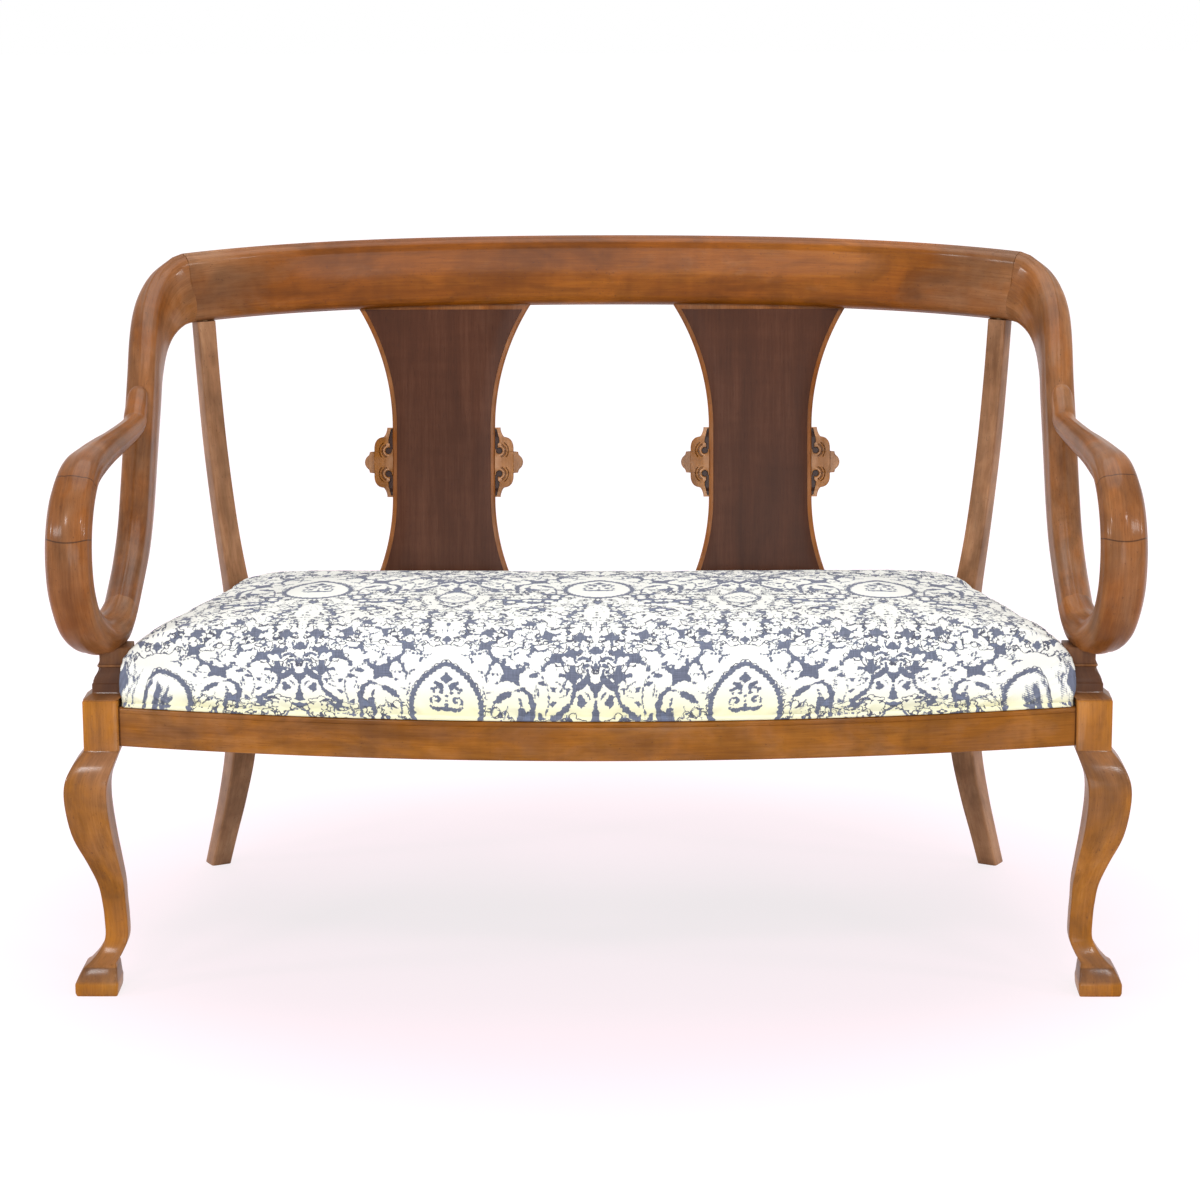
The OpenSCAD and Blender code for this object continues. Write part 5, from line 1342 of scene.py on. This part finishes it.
def makeSeat():
    n, m = seat["rows"], seat["columns"]
    grid, a, b = seatGrid(n, m)
    u, v = clothCoords(grid)
    moved = settleCover()
    y, x = (b + 1) / 2 * (len(moved) - 1), (a + 1) / 2 * (len(moved[0]) - 1)
    grid = grid + np.stack([readGrid(moved[..., k], y, x, eased=True) for k in range(3)], -1)
    faces = gridQuads(n, m).tolist() + [rimOf(n, m)[::-1].tolist()]
    cushion = makePiece("seatCushion", grid.reshape(-1, 3), faces, damask, "damask",
                        ["seat_cover", "seat_padding"], sharp=0)
    aged = smoothStep((grid[..., 2] - seat["hemZ"]) / (60 - 38 * np.abs(a)), 1, 0) * smoothStep(-b, 0.2, 0.7)
    dressCloth(cushion, u, v, aged)


makeSeat()
print("seat made")


# The welt over the tacked hem: half depth and half height of the roll, its place and its steps, and
# the grid that its cloth coordinates are read from
welt = {"halfD": 2.6, "halfH": 3.15, "inset": 1.5, "sideOut": 4.4, "swell": 0.03,
        "z": seat["hemZ"] + seat["weltD"] / 2 + 0.3, "around": 16, "frontSteps": 340, "sideSteps": 120,
        "hemRows": 121, "hemColumns": 241}


# A flattened round roll carried along the hem, in front from block to block and down each side. Its
# cloth carries on the pattern of the cover's hem
def makeWelt():
    grid = seatGrid(welt["hemRows"], welt["hemColumns"])[0]
    u, v = clothCoords(grid)
    front = np.linspace(-seat["coverX"] + 3, seat["coverX"] - 3, welt["frontSteps"])
    y = np.linspace(frontLeg["neckY"] + frontLeg["neckD"] / 2 + 9, whole["seatD"] - rearLeg["postW"] - 4,
                    welt["sideSteps"])
    x = sideLineX(y, seat["hemInset"] - welt["sideOut"])
    # path, its own coordinate, then that coordinate, u and v along the cover's hem, and the way out
    runs = [(np.stack([front, bowY(front, welt["inset"])], 1), front, grid[0, :, 0], u[0], v[0], 1)]
    for side, last in ((-1, 0), (1, -1)):
        runs.append((np.stack([side * x, y], 1), y, grid[:, last, 1], u[:, last], v[:, last], side))
    turn = np.linspace(0, 2 * np.pi, welt["around"], endpoint=False)
    solids, us, vs = [], [], []
    for path, at, known, knownU, knownV, way in runs:
        along = unit(np.gradient(path, axis=0))
        out = np.stack([along[:, 1], -along[:, 0]], 1) * way
        steps = np.arange(len(path))
        swell = 1 + welt["swell"] * np.sin(steps * 0.9) * np.sin(steps * 0.23)
        xy = path[:, None] + out[:, None] * (welt["halfD"] * column(swell) * np.cos(turn))[..., None]
        z = welt["z"] + welt["halfH"] * np.sin(turn) + 0 * xy[..., 0]
        solids.append(np.concatenate([xy, z[..., None]], -1))
        us.append((column(np.interp(at, known, knownU)) + 0 * z).ravel())
        rise = cloth["frontPace"] * (z - seat["hemZ"]) * (np.cos(turn) > -0.2)
        vs.append((column(np.interp(at, known, knownV)) + rise).ravel())
    points, faces = joinSolids(solids)
    piece = makePiece("seatWelt", points, faces, damask, "welt_cord", ["seat_welt"], sharp=60)
    dressCloth(piece, np.concatenate(us), np.concatenate(vs), points[:, 1] < whole["midY"])


makeWelt()
print("welt made")


# Plain woven goods: two thread directions as bump, uneven threads in colour. Grain is length first,
# and a stripe is its distance from the middle, its half width and its colour
def strawFinish(name, dark, light, across, along, stripe=None, rough=0.85):
    material, tree, shader = blankMaterial(name)
    place = attributeOf(tree, "grain", "Vector")
    parts = newNode(tree, "ShaderNodeSeparateXYZ", {0: place}).outputs
    threads = noiseAt(tree, place, (40, 900, 1), 3, 0.6)
    others = noiseAt(tree, place, (900, 40, 1), 3, 0.6)
    wave = threadWave(tree, parts[1], parts[0], across, along)
    level = weightedSum(tree, 0.0, (threads, 0.5), (others, 0.5), (wave, 0.12))
    colour = ramp(tree, level, [(0.32, dark), (0.68, light)])
    if stripe:
        edge, half, tint = stripe
        gone = calc(tree, "SUBTRACT", calc(tree, "ABSOLUTE", parts[1]), edge)
        line = remap(tree, calc(tree, "ABSOLUTE", gone), half, half * 1.3, 0.8, 0.0)
        colour = blendColour(tree, line, colour, tint)
    dressShader(tree, shader, colour, weightedSum(tree, rough - 0.05, (threads, 0.1)), level, 0.5, 0.0005,
                {"Specular IOR Level": 0.15})
    return material


def steelFinish(name, tint, dull, rough):
    material, tree, shader = blankMaterial(name)
    place = addNode(tree, "ShaderNodeTexCoord", output="Object")
    cloud = noiseAt(tree, place, (260, 260, 260), 4, 0.6)
    lines = noiseAt(tree, place, (900, 900, 90), 3, 0.6)
    dressShader(tree, shader, ramp(tree, cloud, [(0.38, dull), (0.6, tint)]),
                weightedSum(tree, rough - 0.1, (lines, 0.22)), lines, 0.2, 0.0002, {"Metallic": 1.0})
    return material


jute = strawFinish("jute", (0.20, 0.13, 0.06, 1), (0.45, 0.33, 0.17, 1), 0.0022, 0.0030,
                   (0.0215, 0.0012, (0.22, 0.03, 0.02, 1)))
hessian = strawFinish("hessian", (0.17, 0.11, 0.05, 1), (0.42, 0.31, 0.16, 1), 0.0016, 0.0016)
lining = strawFinish("lining", (0.010, 0.010, 0.011, 1), (0.028, 0.028, 0.030, 1), 0.0009, 0.0009)
screwSteel = steelFinish("screwSteel", (0.55, 0.56, 0.58, 1), (0.36, 0.35, 0.34, 1), 0.35)
springSteel = steelFinish("springSteel", (0.45, 0.38, 0.32, 1), (0.28, 0.20, 0.15, 1), 0.42)

underside = {"webW": 50, "webT": 1.6, "gap": 0.3, "pitchX": 230, "pitchY": 190, "midY": 245, "columns": 4,
             "backY": whole["seatD"] - 30, "clothT": 1.1, "clothShare": 0.53, "dustT": 0.7, "dustInset": 8,
             "dustFront": 21, "dustSag": 3.0, "sheetRows": 71, "sheetColumns": 131}
underside["crossZ"] = railLow - underside["gap"] - underside["webT"]
underside["longZ"] = underside["crossZ"] - underside["gap"] - underside["webT"]


# One strap of webbing: a flat rounded section, with the selvedges a little thicker and the face
# rippled by the weft
def strapRings(start, end, z):
    u = underside
    start, end = np.array(start), np.array(end)
    run = np.arange(0, np.linalg.norm(end - start) + 0.1, 4.0)
    way = unit(end - start)
    outline = roundOutline(0 * run + u["webW"] / 2, 0 * run + u["webT"] / 2, 0.5, 0.0, 3, 9)
    across, depth = outline[..., 0], outline[..., 1]
    depth = depth * (0.80 + 0.08 * np.sin(column(run) * np.pi / 4) + 0.10 * (np.abs(across) > 22))
    xy = start + way * run[:, None, None] + np.array([-way[1], way[0]]) * across[..., None]
    rings = np.concatenate([xy, (z + u["webT"] / 2 + depth)[..., None]], -1)
    return rings, np.stack([column(run) + 0 * across, across, depth], -1).reshape(-1, 3)


# Webbing from rail to rail, the straps along the seat's depth under the ones across it
def makeWebbing():
    u = underside
    across, along = [], []
    for k in range(-1, 3):
        y = u["midY"] + k * u["pitchY"] / 2
        x = sideLineX(y - u["webW"] / 2, whole["railT"] / 2)
        across.append(((-x, y), (x, y), u["crossZ"]))
    for k in range(-u["columns"] + 1, u["columns"]):
        x = k * u["pitchX"] / 2
        along.append(((x, bowY(abs(x) + u["webW"] / 2) + bow["thick"] * 0.55), (x, u["backY"]), u["longZ"]))
    for name, node, straps in (("webbingAcross", "webbing_cross", across),
                               ("webbingAlong", "webbing_long", along)):
        solids, grains = zip(*(strapRings(*strap) for strap in straps))
        makePiece(name, *joinSolids(solids), jute, "jute_webbing", [node], np.concatenate(grains), sharp=40)


# A sheet over a plan: the plan's edge scaled towards the middle, top and bottom a thickness apart
def sheetOver(name, edgeOf, height, thick, material, slot, node):
    rows, columns = underside["sheetRows"], underside["sheetColumns"]
    a, b, rho = squareGrid(rows, columns)
    edge = edgeOf(a / rho, b / rho)
    x, y = edge[..., 0] * rho, seat["midY"] + (edge[..., 1] - seat["midY"]) * rho
    top = np.stack([x, y, height(x, y, rho)], -1).reshape(-1, 3)
    points = np.concatenate([top, top - (0, 0, thick)])
    count, rim = len(top), rimOf(rows, columns)
    after = np.roll(rim, -1)
    quads = gridQuads(rows, columns)
    sides = np.stack([after, rim, rim + count, after + count], 1)
    faces = np.concatenate([quads, quads[:, ::-1] + count, sides])
    piece = makePiece(name, points, faces, material, slot, [node], points[:, [1, 0, 2]], sharp=50)


# The hessian over the springs is domed a little on each of them
def makeSpringCloth():
    u = underside
    rise, lengths = sidePlans()[1:]
    level = whole["railTop"] + seat["crown"] * u["clothShare"] + u["clothT"]
    spots = [(u["pitchX"] * i, u["midY"] + u["pitchY"] * j)
             for i, j in product((-1.5, -0.5, 0.5, 1.5), (-0.5, 0.5))]

    def edgeOf(a, b):
        edge = planEdge(a, b, rise, lengths, seat["hemInset"])
        return np.stack([edge[..., 0] * 0.85, seat["midY"] + (edge[..., 1] - seat["midY"]) * 0.83], -1)

    def height(x, y, rho):
        gone = np.min([np.hypot(x - sx, y - sy) for sx, sy in spots], 0)
        return level + 0.8 * smoothStep(gone, 70, 36) * smoothStep(rho, 1, 0.9)

    sheetOver("springCloth", edgeOf, height, u["clothT"], hessian, "hessian", "spring_cloth")


# The black cloth under the frame sags a little and is drawn up where it is tacked
def makeDustCloth():
    u = underside
    inset = u["dustInset"]
    x1, y1 = blockIn - inset, whole["blockW"] + inset
    y2 = whole["seatD"] - rearLeg["postW"]
    corner = rearLeg["postX"] - rearLeg["postW"]
    side = np.array([(x1, bowY(x1) + u["dustFront"]), (x1, y1), (sideLineX(y1 + inset, inset), y1 + inset),
                     (sideLineX(y2, inset), y2), (corner, y2), (corner, u["backY"] + inset / 2)])
    lengths = runLength(side)
    top = u["longZ"] - u["gap"]

    def edgeOf(a, b):
        return planEdge(a, b, side, lengths, 0.0, u["dustFront"])

    def height(x, y, rho):
        pull = 0.35 * np.cos(x * 2 * np.pi / 60) * np.cos(y * 2 * np.pi / 60) * smoothStep(rho, 0.80, 0.97)
        return top - 0.35 - u["dustSag"] * (1 - rho**2) - 0.35 * (1 - rho) + pull * (rho < 0.999)

    sheetOver("dustCloth", edgeOf, height, u["dustT"], lining, "black_lining", "dust_cloth")


makeWebbing()
makeSpringCloth()
makeDustCloth()
print("webbing and cloths made")

# CAD solids that keep their shape get their finish here
for material, words in ((backRailWood, ["back_rail"]), (sideRailWood, ["side_rail_left", "side_rail_right"]),
                        (rawWood, ["corner_blocks_front", "corner_blocks_rear", "joint_dowels"]),
                        (plugWood, ["thumb_plug_left", "thumb_plug_right"]),
                        (screwSteel, ["corner_screws"]), (springSteel, ["coil_springs"])):
    for node in words:
        cadNodes[node].data.materials.clear()
        cadNodes[node].data.materials.append(material)
